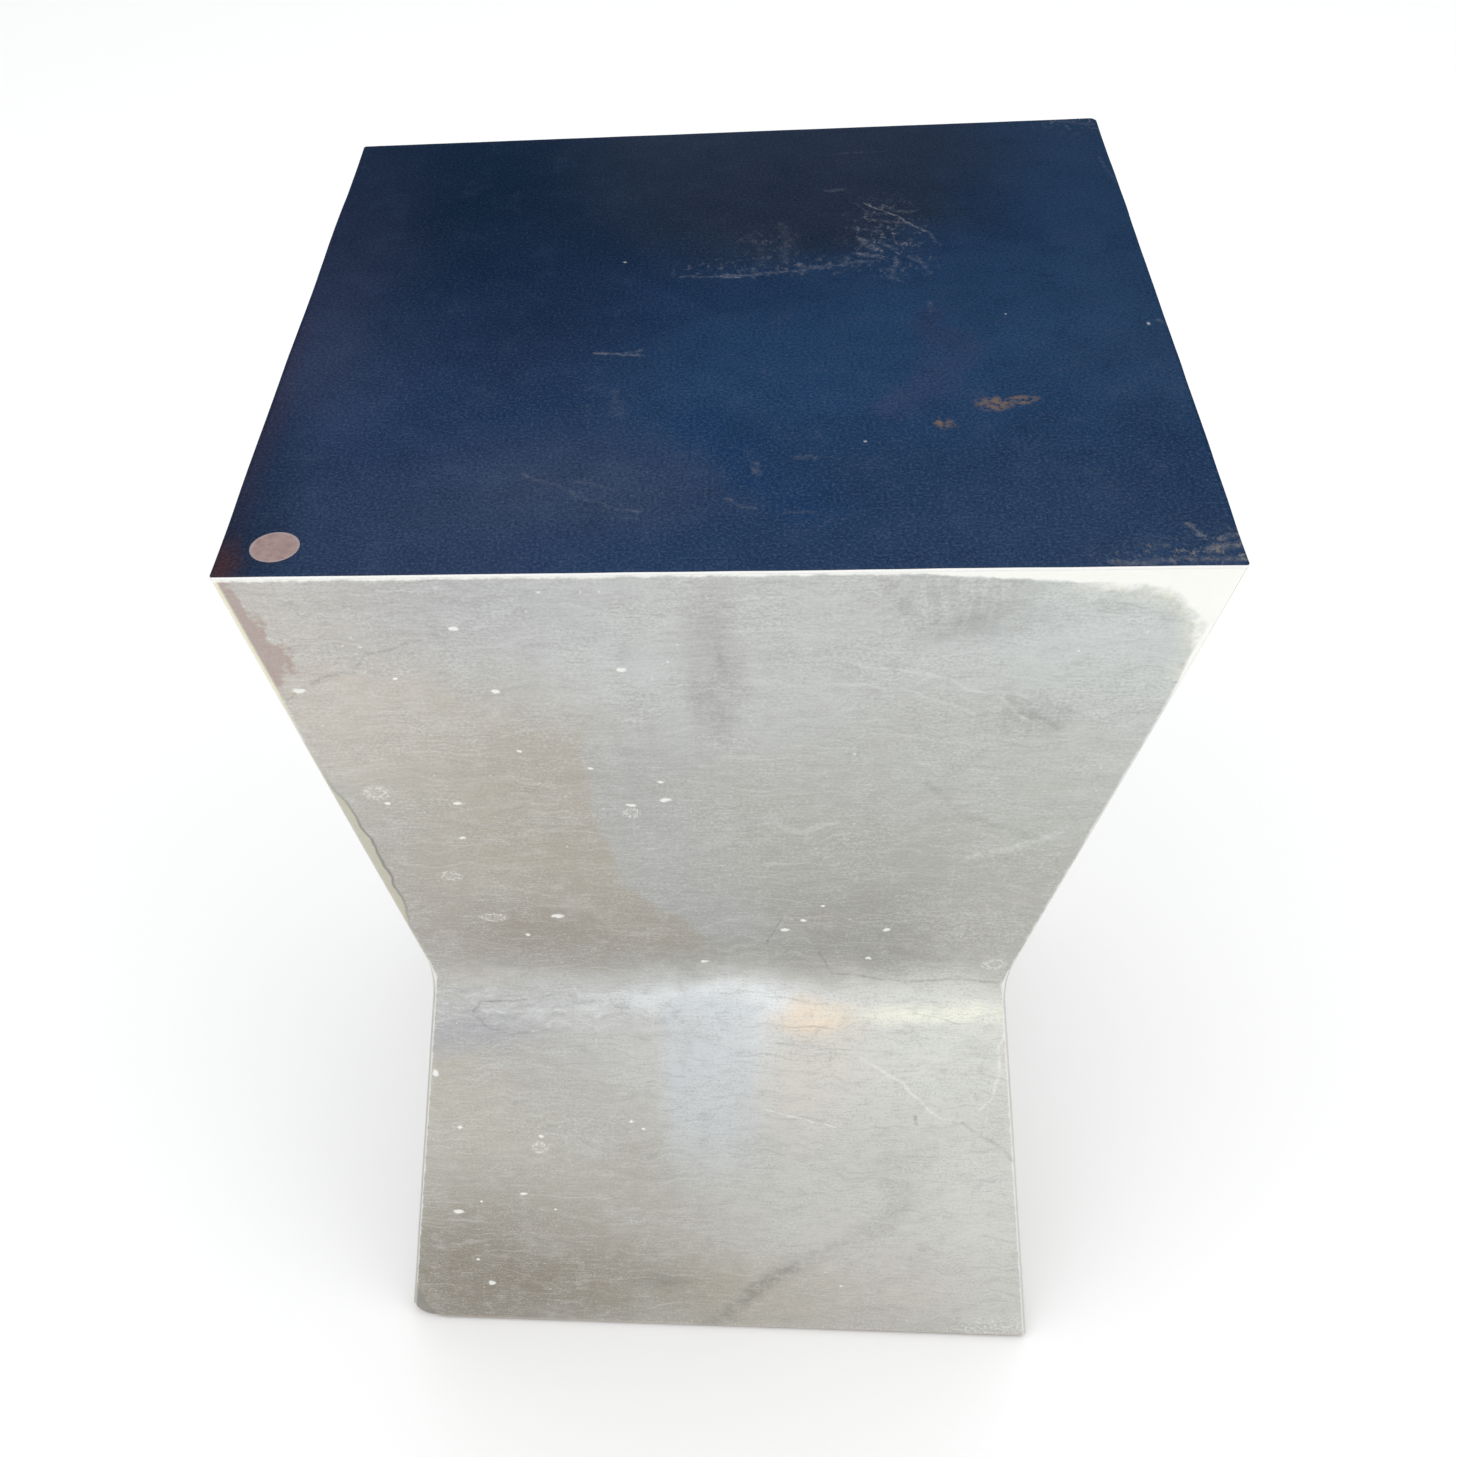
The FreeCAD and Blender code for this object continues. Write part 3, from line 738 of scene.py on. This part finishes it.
# Dried paint specks, and the rings and crumbs of dried drops: places
FRONT_FLECKS = [
    (-105, 570, 2, 1.2), (-38, 545, 2.1, 1.3), (-92, 532, 1.7, 1.3), (-134, 540, 1, 0.9),
    (-177, 533, 2.8, 1.4), (-152, 454, 1.3, 1.1), (-119, 454, 2, 1.3), (-120, 427, 1.6, 1),
    (-55, 480, 1.3, 1), (-24, 470, 1.5, 0.9), (-22, 457, 2.5, 1.5), (-38, 453, 2.4, 1.1),
    (-86, 492, 1.1, 0.9), (-80, 360, 3.2, 1.7), (-97, 342, 1.3, 1.1), (-5, 318, 2, 1.3),
    (45, 358, 1.5, 1.1), (36, 349, 1.9, 1.4), (54, 371, 1, 0.9), (87, 350, 1.8, 1.4),
    (80, 323, 1.6, 1.2), (-160, 226, 1.7, 2.8), (-150, 182, 1.6, 1.3), (-102, 176, 1.7, 1.2),
    (-116, 125, 2.3, 1.2), (-158, 107, 3.2, 1.8), (-143, 117, 1, 0.9), (-97, 112, 1.1, 0.9),
    (-48, 190, 1.1, 0.9), (-41, 184, 1, 0.8), (-143, 39, 2.2, 2.2), (-150, 62, 1.4, 1)]
FRONT_DROPS = [(-156, 462, 6.5, 5.5), (-130, 395, 5.5, 4.5), (-113, 358, 7.5, 4), (145, 318, 6.5, 5),
               (-103, 166, 5, 5.5), (-38, 447, 4, 4)]


# Hatched dark patches and crumbled pale ones of the front: place, strength
FRONT_HATCHES = [((96, 582, 26, 16), 0.2), ((128, 514, 16, 12), 0.18)]
FRONT_CRUMBLES = [
    ((178, 10, 22, 12), 0.6), ((60, 3, 150, 4), 0.3), ((-88, 178, 30, 26), 0.15),
    ((20, 425, 60, 40), 0.12), ((130, 345, 30, 30), 0.2)]


def other_tones(graph, point, field):
    """Clouds of warm and cool grey on the sheets away from the front."""
    clouds = graph.noise(graph.warp(field, 0.01, 60), 0.005, 3, 0.5)
    graph.tint_by(clouds, (0.5, 0.68, (0.62, 0.635, 0.62), 0.55), (0.5, 0.32, (0.37, 0.34, 0.29), 0.6))
    columns = graph.stretch(graph.warp(field, 0.02, 20), 1, 0.2)
    columns = graph.noise(columns, 0.012, 3, 0.5)
    graph.tint_by(columns, (0.5, 0.7, (0.6, 0.645, 0.69), 0.45), (0.48, 0.3, (0.4, 0.38, 0.34), 0.4))
    _, up, _ = graph.split(point)
    graph.tint_by(up, (90, 0, (0.36, 0.335, 0.28), 0.5))


def threads(graph, tight, field, squeeze, scale, gate_scale):
    """Mask of thin wandering scratches, where a gate of coarse noise lets them show."""
    wander = graph.noise(graph.stretch(tight, *squeeze), scale, 1, 0.3)
    gate = graph.smooth(graph.noise(field, gate_scale, 3, 0.6), 0.54, 0.62)
    return graph.times(graph.smooth(graph.off(wander, 0.5), 0.006, 0), gate)


def other_marks(graph, point, field, edge):
    """Scratches, smears and old glue away from the front. Returns the mask of dried drops."""
    tight = graph.warp(field, 0.06, 6)
    graph.tint(threads(graph, tight, field, (1, 0.35), 0.009, 0.017), DARK_MARK, 0.35)
    graph.tint(threads(graph, tight, field, (0.3, 1), 0.012, 0.013), CHALK, 0.28)
    smear = graph.noise(graph.stretch(tight, 0.35, 1), 0.03, 5, 0.6)
    graph.tint_by(smear, (0.6, 0.74, DARK_MARK, 0.35))
    seam_width = graph.smooth(graph.noise(field, 0.05, 3), 0.5, 0.75, 1, 7)
    seam = graph.times(graph.smooth(edge, seam_width, 0.6), graph.smooth(edge, 1, 2.2))
    graph.tint(seam, (0.56, 0.53, 0.43), 0.4)
    distance, random = graph.cells(graph.warp(field, 0.25, 5), 0.011)
    size = graph.smooth(graph.split(random)[2], 0.7, 1, 0, 0.06)
    crumbs = graph.smooth(graph.noise(field, 0.6, 3, 0.7), 0.46, 0.58)
    return graph.times(crumbs, 0.75, graph.smooth(graph.minus(distance, size), 0, -0.02))


def front_tones(graph, point, field):
    """Broad light, dark, warm and cool areas of the front sheet: tarnish together with painted
    reflections, highlights and shade.
    """
    near = graph.warp(point, 0.05, 22)
    across, up, _ = graph.split(graph.warp(point, 0.04, 14))
    for place, colour, strength, *soft in FRONT_TONES:
        graph.tint(graph.ellipse(near, place, *soft), colour, strength)

    # a brown area on the left meets a bluish one along a border that runs down to the right
    border = graph.plus(graph.smooth(up, 470, 390, -56, -47),
                        graph.smooth(up, 405, 325, 0, 46))
    past = graph.minus(across, border)
    rows = graph.band(up, 318, 350, 470, 540)
    cool = graph.times(graph.band(past, -5, 3, 20, 75), rows)
    graph.tint(cool, (0.435, 0.455, 0.47), 0.55)
    warm = graph.times(graph.band(past, -80, -20, -5, 3), rows)
    graph.tint(warm, (0.42, 0.375, 0.31), 0.5)

    # a painted reflection: a pale blue column under the waist
    reflected_column = graph.times(graph.band(across, -36, -19, 8, 40),
                         graph.band(up, 105, 215, 280, 300))
    graph.tint(reflected_column, (0.635, 0.675, 0.71), 0.75)

    # fine scratches rubbed across the bend, their pale blue streaks partly a painted reflection
    rubbed = graph.ellipse(near, (-85, 278, 78, 18), 0.5)
    scratched = graph.noise(graph.stretch(near, 0.35, 1), 0.2, 6, 0.8)
    graph.tint_by(scratched, (0.48, 0.66, (0.74, 0.77, 0.8), 0.75),
                  (0.48, 0.32, (0.33, 0.34, 0.37), 0.65), where=rubbed)


def glue_and_stain(graph, field, up, edge, ragged, is_left):
    """Old glue up the front's left edge, a pinkish brown stain near its upper corner, and a painted
    highlight along the edge beside the stain.
    """
    bulge = graph.band(up, 322, 400, 420, 500)
    border = graph.math("MULTIPLY_ADD", bulge, 5.5, 1.6)
    border = graph.plus(border, graph.smooth(graph.noise(field, 0.05, 2), 0.3, 0.7, -0.9, 1.2))
    off_border = graph.minus(edge, border)
    seam = graph.times(graph.smooth(off_border, 0.4, -0.5), is_left, graph.smooth(up, 312, 330))
    graph.tint(seam, (0.56, 0.54, 0.44), 0.75)
    crack = graph.smooth(graph.math("ABSOLUTE", off_border), 1.2, 0.2)
    graph.tint(graph.times(crack, is_left, bulge), DARK_MARK, 0.75)

    reach = graph.times(graph.smooth(up, 522, 552), graph.smooth(up, 590, 556, 0.55, 1),
                        graph.smooth(ragged, 0.3, 0.7, 11, 22))
    stained = graph.smooth(graph.minus(edge, reach), 1, -3)
    graph.tint(graph.times(stained, is_left, graph.smooth(edge, 2, 4.5)), (0.38, 0.27, 0.245), 0.6)
    # painted highlight: a cream strip along the left edge near the upper corner
    rim = graph.times(graph.smooth(edge, 4, 2.4), graph.smooth(up, 500, 540), is_left)
    graph.tint(rim, (0.86, 0.82, 0.62), 0.75)


def highlit_corner(graph, tight, across, up, edge, ragged, patchy, is_right):
    """Painted highlight outside a rounded border at the front's upper right, and a bright strip along the
    edge under the top sheet.
    """
    past = graph.vector("MAXIMUM", graph.vector("SUBTRACT", tight, (157, 556, 0)), (0, 0, 0))
    past = graph.plus(graph.vector("LENGTH", past), graph.smooth(ragged, 0.3, 0.7, -1.8, 1.8))
    side_strip = graph.smooth(graph.minus(edge, graph.smooth(up, 512, 560, 1, 4)), 0.8, -0.8)
    side_strip = graph.times(side_strip, is_right, graph.smooth(up, 516, 524))
    depth = graph.plus(graph.smooth(across, 60, 170, 1.3, 8),
                       graph.smooth(ragged, 0.3, 0.7, -0.6, 0.6))
    from_top = graph.minus(SKIN_HIGH / MM, up)
    top_strip = graph.smooth(graph.minus(from_top, depth), 0.8, -1.2)
    at_corner = graph.times(graph.smooth(across, 130, 160), graph.smooth(up, 512, 545))
    # painted highlight: a pale halo round the corner, then the bright corner and strips
    highlight_halo = graph.times(graph.smooth(past, 22, 33), patchy, at_corner)
    graph.tint(highlight_halo, (0.8, 0.79, 0.66), 0.5)
    corner = graph.times(graph.smooth(past, 30.5, 36), at_corner)
    graph.tint(graph.most(side_strip, top_strip, corner), (0.92, 0.92, 0.875), 0.92)


def front_marks(graph, point, field, edge):
    """Scratches, glue, stain and painted corner highlight of the front sheet. Returns the mask of its
    specks.
    """
    tight = graph.warp(point, 0.05, 8)
    ragged = graph.noise(field, 0.14, 5, 0.65)
    patchy = graph.smooth(graph.noise(field, 0.16, 6, 0.8), 0.36, 0.6)
    across, up, _ = graph.split(point)
    is_left = graph.math("LESS_THAN", across, 0)
    for stops, half_width, colour, strength in FRONT_LINES:
        graph.tint(graph.times(graph.line(tight, stops, half_width), patchy), colour, strength)
    hatched = graph.noise(graph.stretch(tight, 1, 0.2), 0.25, 4, 0.7)
    hatched = graph.smooth(hatched, 0.4, 0.58)
    for place, strength in FRONT_HATCHES:
        graph.tint(graph.times(graph.ellipse(tight, place, 0.7), hatched), DARK_MARK, strength)
    crumbly = graph.smooth(graph.noise(field, 0.5, 5, 0.75), 0.48, 0.6)
    for place, strength in FRONT_CRUMBLES:
        graph.tint(graph.times(graph.ellipse(tight, place), crumbly), CHALK, strength)
    glue_and_stain(graph, field, up, edge, ragged, is_left)
    highlit_corner(graph, tight, across, up, edge, ragged, patchy, graph.minus(1, is_left))

    flecks, _ = graph.spots(graph.warp(point, 0.4, 2.4), FRONT_FLECKS, 0.35)
    drops, across_drop = graph.spots(point, FRONT_DROPS, 0.35)
    ring = graph.smooth(graph.off(across_drop, 0.8), 0.1, 0.45, 1, 0.4)
    crumbs = graph.smooth(graph.noise(field, 0.7, 3, 0.7), 0.44, 0.58)
    return graph.most(flecks, graph.times(drops, ring, crumbs, 0.7))


# Broad tones of the top, painted reflections in blues and near blacks, like those of the front, but places
# are (x, y, half width, half depth)
TOP_REFLECTIONS = [
    ((10, 185, 190, 85), (0.028, 0.029, 0.038), 0.95, 0.7),
    ((30, 106, 105, 54), (0.023, 0.025, 0.033), 0.9, 0.6),
    ((-155, 155, 84, 100), (0.007, 0.009, 0.014), 0.95, 0.6),
    ((-60, 35, 40, 80), (0.01, 0.017, 0.035), 0.5),
    ((-95, -30, 58, 70), (0.012, 0.02, 0.044), 0.65),
    ((60, -40, 90, 70), (0.017, 0.042, 0.094), 0.65, 0.7),
    ((150, 92, 26, 32), (0.014, 0.028, 0.068), 0.5),
    ((185, 70, 42, 160), (0.025, 0.051, 0.101), 0.8),
    ((125, 15, 60, 50), (0.022, 0.05, 0.106), 0.7),
    ((-188, 10, 40, 160), (0.031, 0.031, 0.055), 0.7),
    ((0, -150, 280, 75), (0.009, 0.022, 0.05), 0.7),
    ((-118, 20, 50, 190), (0.01, 0.016, 0.033), 0.35),
    ((190, -140, 34, 44), (0.009, 0.018, 0.042), 0.6),
    ((-62, -140, 54, 34), (0.028, 0.036, 0.062), 0.6),
    ((-140, -170, 70, 50), (0.022, 0.03, 0.058), 0.5),
    ((150, -165, 60, 40), (0.018, 0.032, 0.06), 0.4)]

# Scratches of the top: points, half width, strength
TOP_SCRATCHES = [
    (((72, 107), (87, 94), (101, 74)), 0.2, 1), (((101, 74), (106, 62)), 0.4, 0.3),
    (((54, 124), (62, 124)), 1.8, 0.3), (((86, 99), (96, 97)), 1.6, 0.3), (((73, 96), (79, 95)), 1.4, 0.3),
    (((74, 89), (92, 85)), 1.6, 0.35), (((66, 82), (78, 78)), 1.5, 0.25), (((70, 69), (76, 58)), 2.4, 0.6),
    (((77, 66), (85, 58)), 1.6, 0.35), (((66, 54), (76, 51)), 2.2, 0.6), (((84, 46), (82, 30)), 1.8, 0.35),
    (((91, 50), (96, 42)), 1.8, 0.35), (((97, 42), (98, 34)), 1.4, 0.3), (((97, 6), (97, -3)), 1.6, 0.25),
    (((-18, 37), (4, 36), (27, 38)), 1, 0.4), (((27, 38), (50, 42), (72, 46)), 1.2, 0.35),
    (((2, 36), (9, 36)), 2.4, 0.85), (((38, 46), (41, 39)), 1.8, 0.5), (((17, 44), (17, 35)), 1.4, 0.35),
    (((27, 44), (27, 37)), 1, 0.35), (((52, 48), (52, 41)), 1.2, 0.4), (((62, 51), (60, 43)), 1.4, 0.35),
    (((31, 88), (34, 72), (31, 50)), 3.4, 0.16), (((14, 78), (20, 62), (21, 46)), 3.4, 0.11),
    (((-56, -33), (-44, -35), (-33, -37)), 1.1, 0.65), (((-42, -35), (-33, -32)), 0.9, 0.4),
    (((-80, -130), (-52, -150), (-31, -159)), 0.8, 0.18),
    (((-60, -136), (-42, -144)), 1.4, 0.14), (((4, -152), (16, -158)), 0.9, 0.2),
    (((16, -126), (17, -134)), 1.6, 0.25), (((28, -162), (40, -162)), 0.8, 0.15),
    (((34, -122), (40, -122)), 2, 0.16), (((-44, -68), (-42, -86)), 4, 0.1),
    (((60, 167), (86, 167)), 0.8, 0.12), (((181, -172), (183, -181)), 1.2, 0.7),
    (((191, -183), (200, -179)), 2, 0.6), (((186, -190), (200, -186)), 2.4, 0.7),
    (((150, -197), (200, -195)), 2.4, 0.4), (((196, -18), (199, -24)), 1.2, 0.4),
    (((194, 150), (199, 120)), 1, 0.15), (((176, 198), (198, 192)), 2.4, 0.2)]


# Where the top is thinly scuffed: place, strength
TOP_SCUFFS = [
    ((80, 72, 17, 36), 0.5), ((86, 42, 16, 14), 0.4), ((30, 44, 52, 9), 0.35),
    ((24, 66, 16, 20), 0.22), ((-50, -76, 14, 18), 0.1), ((-50, -144, 40, 20), 0.07),
    ((193, -190, 16, 12), 0.7), ((190, 194, 20, 12), 0.4)]

# Rust spots and white dots of the top: places
TOP_RUST = [(118, -84, 6, 4.5), (129, -81, 5, 2.5), (96, -99, 3.6, 3)]
TOP_DOTS = [
    (62, -111, 0.7, 0.7), (191, -20, 0.7, 1.2), (-46, 53, 0.8, 0.7), (130, -8, 0.5, 0.5)]


def top_tones(graph, point, loose, tight):
    """Painted reflections of the top in broad blues and near blacks, its reddish corner, its mottling and
    grain.
    """
    clouds = graph.noise(point, 0.008, 3, 0.5)
    graph.colour = graph.blend(graph.smooth(clouds, 0.35, 0.65), SKY_REFLECTION_NAVY, DEEP_SKY_REFLECTION_NAVY)
    for place, colour, strength, *soft in TOP_REFLECTIONS:
        graph.tint(graph.ellipse(loose, place, *soft), colour, strength)
    # painted reflections: a dark band and a violet arc
    dark_reflection_band = graph.line(loose, ((-8, -92), (12, -122), (38, -160)), 24)
    graph.tint(dark_reflection_band, (0.008, 0.023, 0.062), 0.6)
    violet_reflection_arc = graph.line(loose, ((100, -5), (104, -35), (95, -62), (80, -84)), 16)
    graph.tint(violet_reflection_arc, (0.03, 0.036, 0.078), 0.45)
    graph.tint(graph.ellipse(tight, (-199, -194, 10, 18), 0.7), (0.07, 0.028, 0.02), 0.9)
    graph.tint(graph.ellipse(tight, (-201, -90, 9, 110)), (0.034, 0.026, 0.042), 0.6)
    mottle = graph.noise(point, 0.05, 6, 0.75)
    graph.tint_by(mottle, (0.5, 0.72, (0.034, 0.05, 0.084), 0.35),
                  (0.5, 0.28, (0.007, 0.012, 0.026), 0.35))
    grain = graph.noise(point, 0.7, 2, 0.9)
    graph.tint_by(grain, (0.5, 0.68, (0.06, 0.075, 0.108), 0.4),
                  (0.5, 0.32, (0.004, 0.007, 0.016), 0.5))


def top_marks(graph, point, tight):
    """Scratches, scuffing, rust and dust of the top. Returns the masks of scuffing and of all of it."""
    shaky = graph.warp(tight, 0.35, 2.4)
    strokes = 0
    for stops, half_width, strength in TOP_SCRATCHES:
        stroke = graph.line(shaky, stops, half_width + 0.8)
        strokes = graph.most(strokes, graph.times(stroke, strength))
    crumbled = graph.smooth(graph.noise(point, 0.3, 6, 0.85), 0.42, 0.66)
    strokes = graph.times(strokes, graph.math("MULTIPLY_ADD", crumbled, 0.9, 0.1))
    flakes = graph.noise(graph.stretch(tight, 1, 0.6), 0.3, 5, 0.75)
    flakes = graph.smooth(flakes, 0.52, 0.68)
    areas = 0
    for place, strength in TOP_SCUFFS:
        areas = graph.most(areas, graph.times(graph.ellipse(tight, place, 0.6), strength))
    scuff = graph.most(strokes, graph.times(areas, flakes))
    graph.tint(scuff, SCUFF, 0.82)
    gritty = graph.times(graph.ellipse(tight, (196, -193, 40, 9)), flakes)
    graph.tint(gritty, (0.2, 0.17, 0.12), 0.7)

    rust, _ = graph.spots(tight, TOP_RUST, 0.6)
    rust = graph.times(rust, graph.smooth(graph.noise(point, 0.35, 4), 0.35, 0.6))
    graph.tint(rust, (0.15, 0.095, 0.055), 0.75)
    dots, _ = graph.spots(point, TOP_DOTS, 0.5)
    dust, random = graph.cells(point, 0.05)
    dust_size = graph.smooth(graph.split(random)[0], 0.7, 1, 0, 0.018)
    dust = graph.smooth(graph.minus(dust, dust_size), 0.002, -0.01)
    white = graph.most(dots, graph.times(dust, 0.35))
    graph.tint(white, (0.5, 0.5, 0.48), 0.5)
    return scuff, graph.most(scuff, rust, white)


def polished_top(name):
    """Mirror polished sheet whose deep blue is a painted sky reflection, hazed, scratched and scuffed in
    places.
    """
    graph = Graph(name)
    x, y, z = graph.split(graph.object_point)
    point = graph.join(graph.times(x, 1 / MM), graph.times(y, 1 / MM), 0)
    loose = graph.warp(point, 0.03, 40)
    tight = graph.warp(point, 0.08, 7)
    top_tones(graph, point, loose, tight)
    scuff, dirt = top_marks(graph, point, tight)
    rim = graph.smooth(z, HEIGHT - 0.08 * MM, HEIGHT - 0.22 * MM)
    graph.tint(rim, (0.93, 0.93, 0.91))             # the cut edge is bare metal

    hairlines = graph.noise(graph.stretch(loose, 0.01, 0.8), 1.1, 3, 0.7)
    haze = graph.noise(point, 0.02, 4, 0.6)
    rough = graph.smooth(haze, 0.3, 0.75, 0.12, 0.22)
    rough = graph.plus(rough, graph.smooth(hairlines, 0.6, 0.8, 0, 0.05))
    rough = graph.math("MULTIPLY_ADD", dirt, 0.4, rough)
    rough = graph.math("MULTIPLY_ADD", rim, 0.25, rough)
    metallic = graph.minus(1, graph.times(dirt, 0.5))
    # the blue glancing tint keeps the painted sky reflection at grazing angles
    return graph.finish(graph.colour, metallic, rough, graph.plus(hairlines, scuff), 0.005 * MM,
                        glancing=(0.49, 0.55, 0.67))


def label_paper(name):
    graph = Graph(name)
    # the paper's pinks are darkened with painted shade
    fibres = graph.noise(graph.object_point, 2500, 4, 0.6)
    blotch = graph.noise(graph.object_point, 260, 3)
    colour = graph.blend(graph.smooth(blotch, 0.35, 0.7), (0.27, 0.185, 0.17), (0.2, 0.13, 0.12))
    colour = graph.blend(graph.smooth(fibres, 0.3, 0.7, 0, 0.25), colour, (0.33, 0.26, 0.25))
    low, high = (Vector(c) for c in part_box("price_label"))
    from_middle = graph.vector("SUBTRACT", graph.object_point, ((low + high) / 2)[:])
    radius = (high.x - low.x) / 2
    out = graph.vector("LENGTH", graph.vector("MULTIPLY", from_middle, (1, 1, 0)))
    rim = graph.smooth(out, radius * 0.86, radius * 0.97)
    colour = graph.blend(graph.times(rim, 0.6), colour, (0.31, 0.27, 0.29))
    return graph.finish(colour, 0, 0.75, fibres, 0.02 * MM)


def wood(name, light, dark, grain_scale, along):
    """Straight-grained timber. along is the axis that the grain follows."""
    graph = Graph(name)
    squeeze = tuple(0.06 if axis == along else 1 for axis in "xyz")
    point = graph.vector("MULTIPLY", graph.object_point, squeeze)
    rings = graph.noise(point, grain_scale, 5, 0.6, 0.8)
    pores = graph.noise(point, grain_scale * 14, 3, 0.7)
    colour = graph.blend(graph.smooth(rings, 0.35, 0.68), light, dark)
    colour = graph.blend(graph.smooth(pores, 0.55, 0.75, 0, 0.5), colour, tuple(c * 0.6 for c in dark))
    rough = graph.smooth(rings, 0.3, 0.7, 0.62, 0.76)
    return graph.finish(colour, 0, rough, pores, 0.08 * MM)


def moulded_plastic(name):
    graph = Graph(name)
    grain = graph.noise(graph.object_point, 2200, 3)
    scuffs = graph.noise(graph.object_point, 180, 4, 0.7)
    colour = graph.blend(graph.smooth(scuffs, 0.5, 0.75), (0.022, 0.022, 0.024), (0.075, 0.073, 0.07))
    return graph.finish(colour, 0, graph.smooth(scuffs, 0.3, 0.7, 0.42, 0.62), grain, 0.03 * MM)


def zinc_steel(name):
    graph = Graph(name)
    bloom = graph.noise(graph.object_point, 420, 4, 0.65)
    colour = graph.blend(graph.smooth(bloom, 0.35, 0.7), (0.62, 0.62, 0.6), (0.45, 0.44, 0.4))
    return graph.finish(colour, 1, graph.smooth(bloom, 0.3, 0.7, 0.28, 0.45), bloom, 0.01 * MM)


# ---- Camera, light and floor ----
WORLD_STRENGTH = 1.09
FLOOR_REACH = 6
FLOOR_WHITE = (0.9, 0.9, 0.9)
CAMERA_PLACE = (0.0065, -0.7187, 0.9784)
CAMERA_TURN = (42.393, 3.931, 4.244)    # degrees
CAMERA_LENS = 40.35                     # mm, on a sensor 36 mm wide
CAMERA_SHIFT = (0.114, 0.124)


def make_camera():
    data = bpy.data.cameras.new("camera")
    data.sensor_width = 36
    data.lens = CAMERA_LENS
    data.shift_x, data.shift_y = CAMERA_SHIFT
    data.clip_start = 0.01
    camera = scene_object("camera", data)
    camera.location = CAMERA_PLACE
    camera.rotation_euler = tuple(math.radians(a) for a in CAMERA_TURN)
    bpy.context.scene.camera = camera


def area_light(name, place, target, size, power, tint=(1, 1, 1)):
    data = bpy.data.lights.new(name, "AREA")
    data.shape = "RECTANGLE"
    data.size, data.size_y = size
    data.energy = power
    data.color = tint
    light = scene_object(name, data)
    light.location = place
    aim = Vector(target) - Vector(place)
    light.rotation_euler = aim.to_track_quat("-Z", "Y").to_euler()


def make_world():
    """Pale studio surround, a little brighter above than at the horizon."""
    world = bpy.data.worlds.new("studio")
    bpy.context.scene.world = world
    world.use_nodes = True
    tree = world.node_tree
    background = tree.nodes["Background"]
    geometry = tree.nodes.new("ShaderNodeTexCoord")
    split = tree.nodes.new("ShaderNodeSeparateXYZ")
    ramp = tree.nodes.new("ShaderNodeValToRGB")
    tree.links.new(geometry.outputs["Generated"], split.inputs[0])
    tree.links.new(split.outputs["Z"], ramp.inputs[0])
    tree.links.new(ramp.outputs[0], background.inputs[0])
    stops = ramp.color_ramp.elements
    stops[0].position, stops[0].color = 0, (0.56, 0.57, 0.59, 1)
    stops[1].position, stops[1].color = 0.85, (1, 1, 1, 1)
    background.inputs[1].default_value = WORLD_STRENGTH


def make_floor():
    corners = [(x * FLOOR_REACH, y * FLOOR_REACH, 0) for x, y in ((-1, -1), (1, -1), (1, 1), (-1, 1))]
    floor = mesh_piece("floor", corners, [(0, 1, 2, 3)])
    floor.data.materials.append(Graph("floor_paper").finish(FLOOR_WHITE, 0, 0.9))


# ---- Assembly ----
def paint_nodes():
    """Procedural finishes for the CAD nodes that keep their shapes."""
    plywood = wood("birch_plywood", (0.66, 0.50, 0.32), (0.50, 0.35, 0.20), 70.0, "x")
    softwood = wood("planed_softwood", (0.72, 0.55, 0.34), (0.55, 0.37, 0.19), 90.0, "z")
    beech = wood("beech_dowel", (0.66, 0.47, 0.30), (0.54, 0.36, 0.22), 160.0, "z")
    plastic = moulded_plastic("black_plastic")
    steel = zinc_steel("zinc_steel")
    finishes = {"glide_nails": steel, "screws": steel, "dowels": beech, "batten": softwood,
                "glide": plastic, "board": plywood}
    for name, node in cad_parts.items():
        finish = next((finishes[word] for word in finishes if word in name), None)
        if finish:
            for slot in node.material_slots:
                slot.material = finish


def main():
    bpy.context.scene.view_settings.view_transform = "Standard"
    make_camera()
    make_world()
    make_floor()
    area_light("key", (-1.3, -1.1, 2.1), (0, 0, 0.3), (2.0, 2.0), 12)
    area_light("fill", (1.5, -0.9, 1.7), (0, 0, 0.3), (1.8, 1.8), 9, (1.0, 0.99, 0.96))
    area_light("back", (0.2, 2.0, 2.4), (0, 0, 0.2), (2.4, 1.2), 8, (0.94, 0.97, 1.0))

    paint_nodes()
    # fold colours per face: partly worn metal, partly painted highlight
    bright = (0.84, 0.84, 0.81)
    left_folds = ((0.50, 0.49, 0.46), (0.82, 0.81, 0.74))
    right_folds = ((0.66, 0.62, 0.61), (0.42, 0.41, 0.45))
    for face, shape, side, *look in (
            ("front", lap_sheet, -1, "x", 0, (bright, bright), front_tones, front_marks),
            ("rear", lap_sheet, 1, "x", 410, (bright, bright), other_tones, other_marks),
            ("left", folded_sheet, -1, "y", 930, left_folds, other_tones, other_marks),
            ("right", folded_sheet, 1, "y", 1570, right_folds, other_tones, other_marks)):
        piece = shape(face + "_sheet", side)
        mount_piece(piece, face + "_panel", satin_aluminium("satin_" + face, *look))
    mount_piece(top_sheet("top_sheet"), "top_plate", polished_top("polished_top"))
    mount_piece(label_disc("round_label"), "price_label", label_paper("label_paper"))


main()
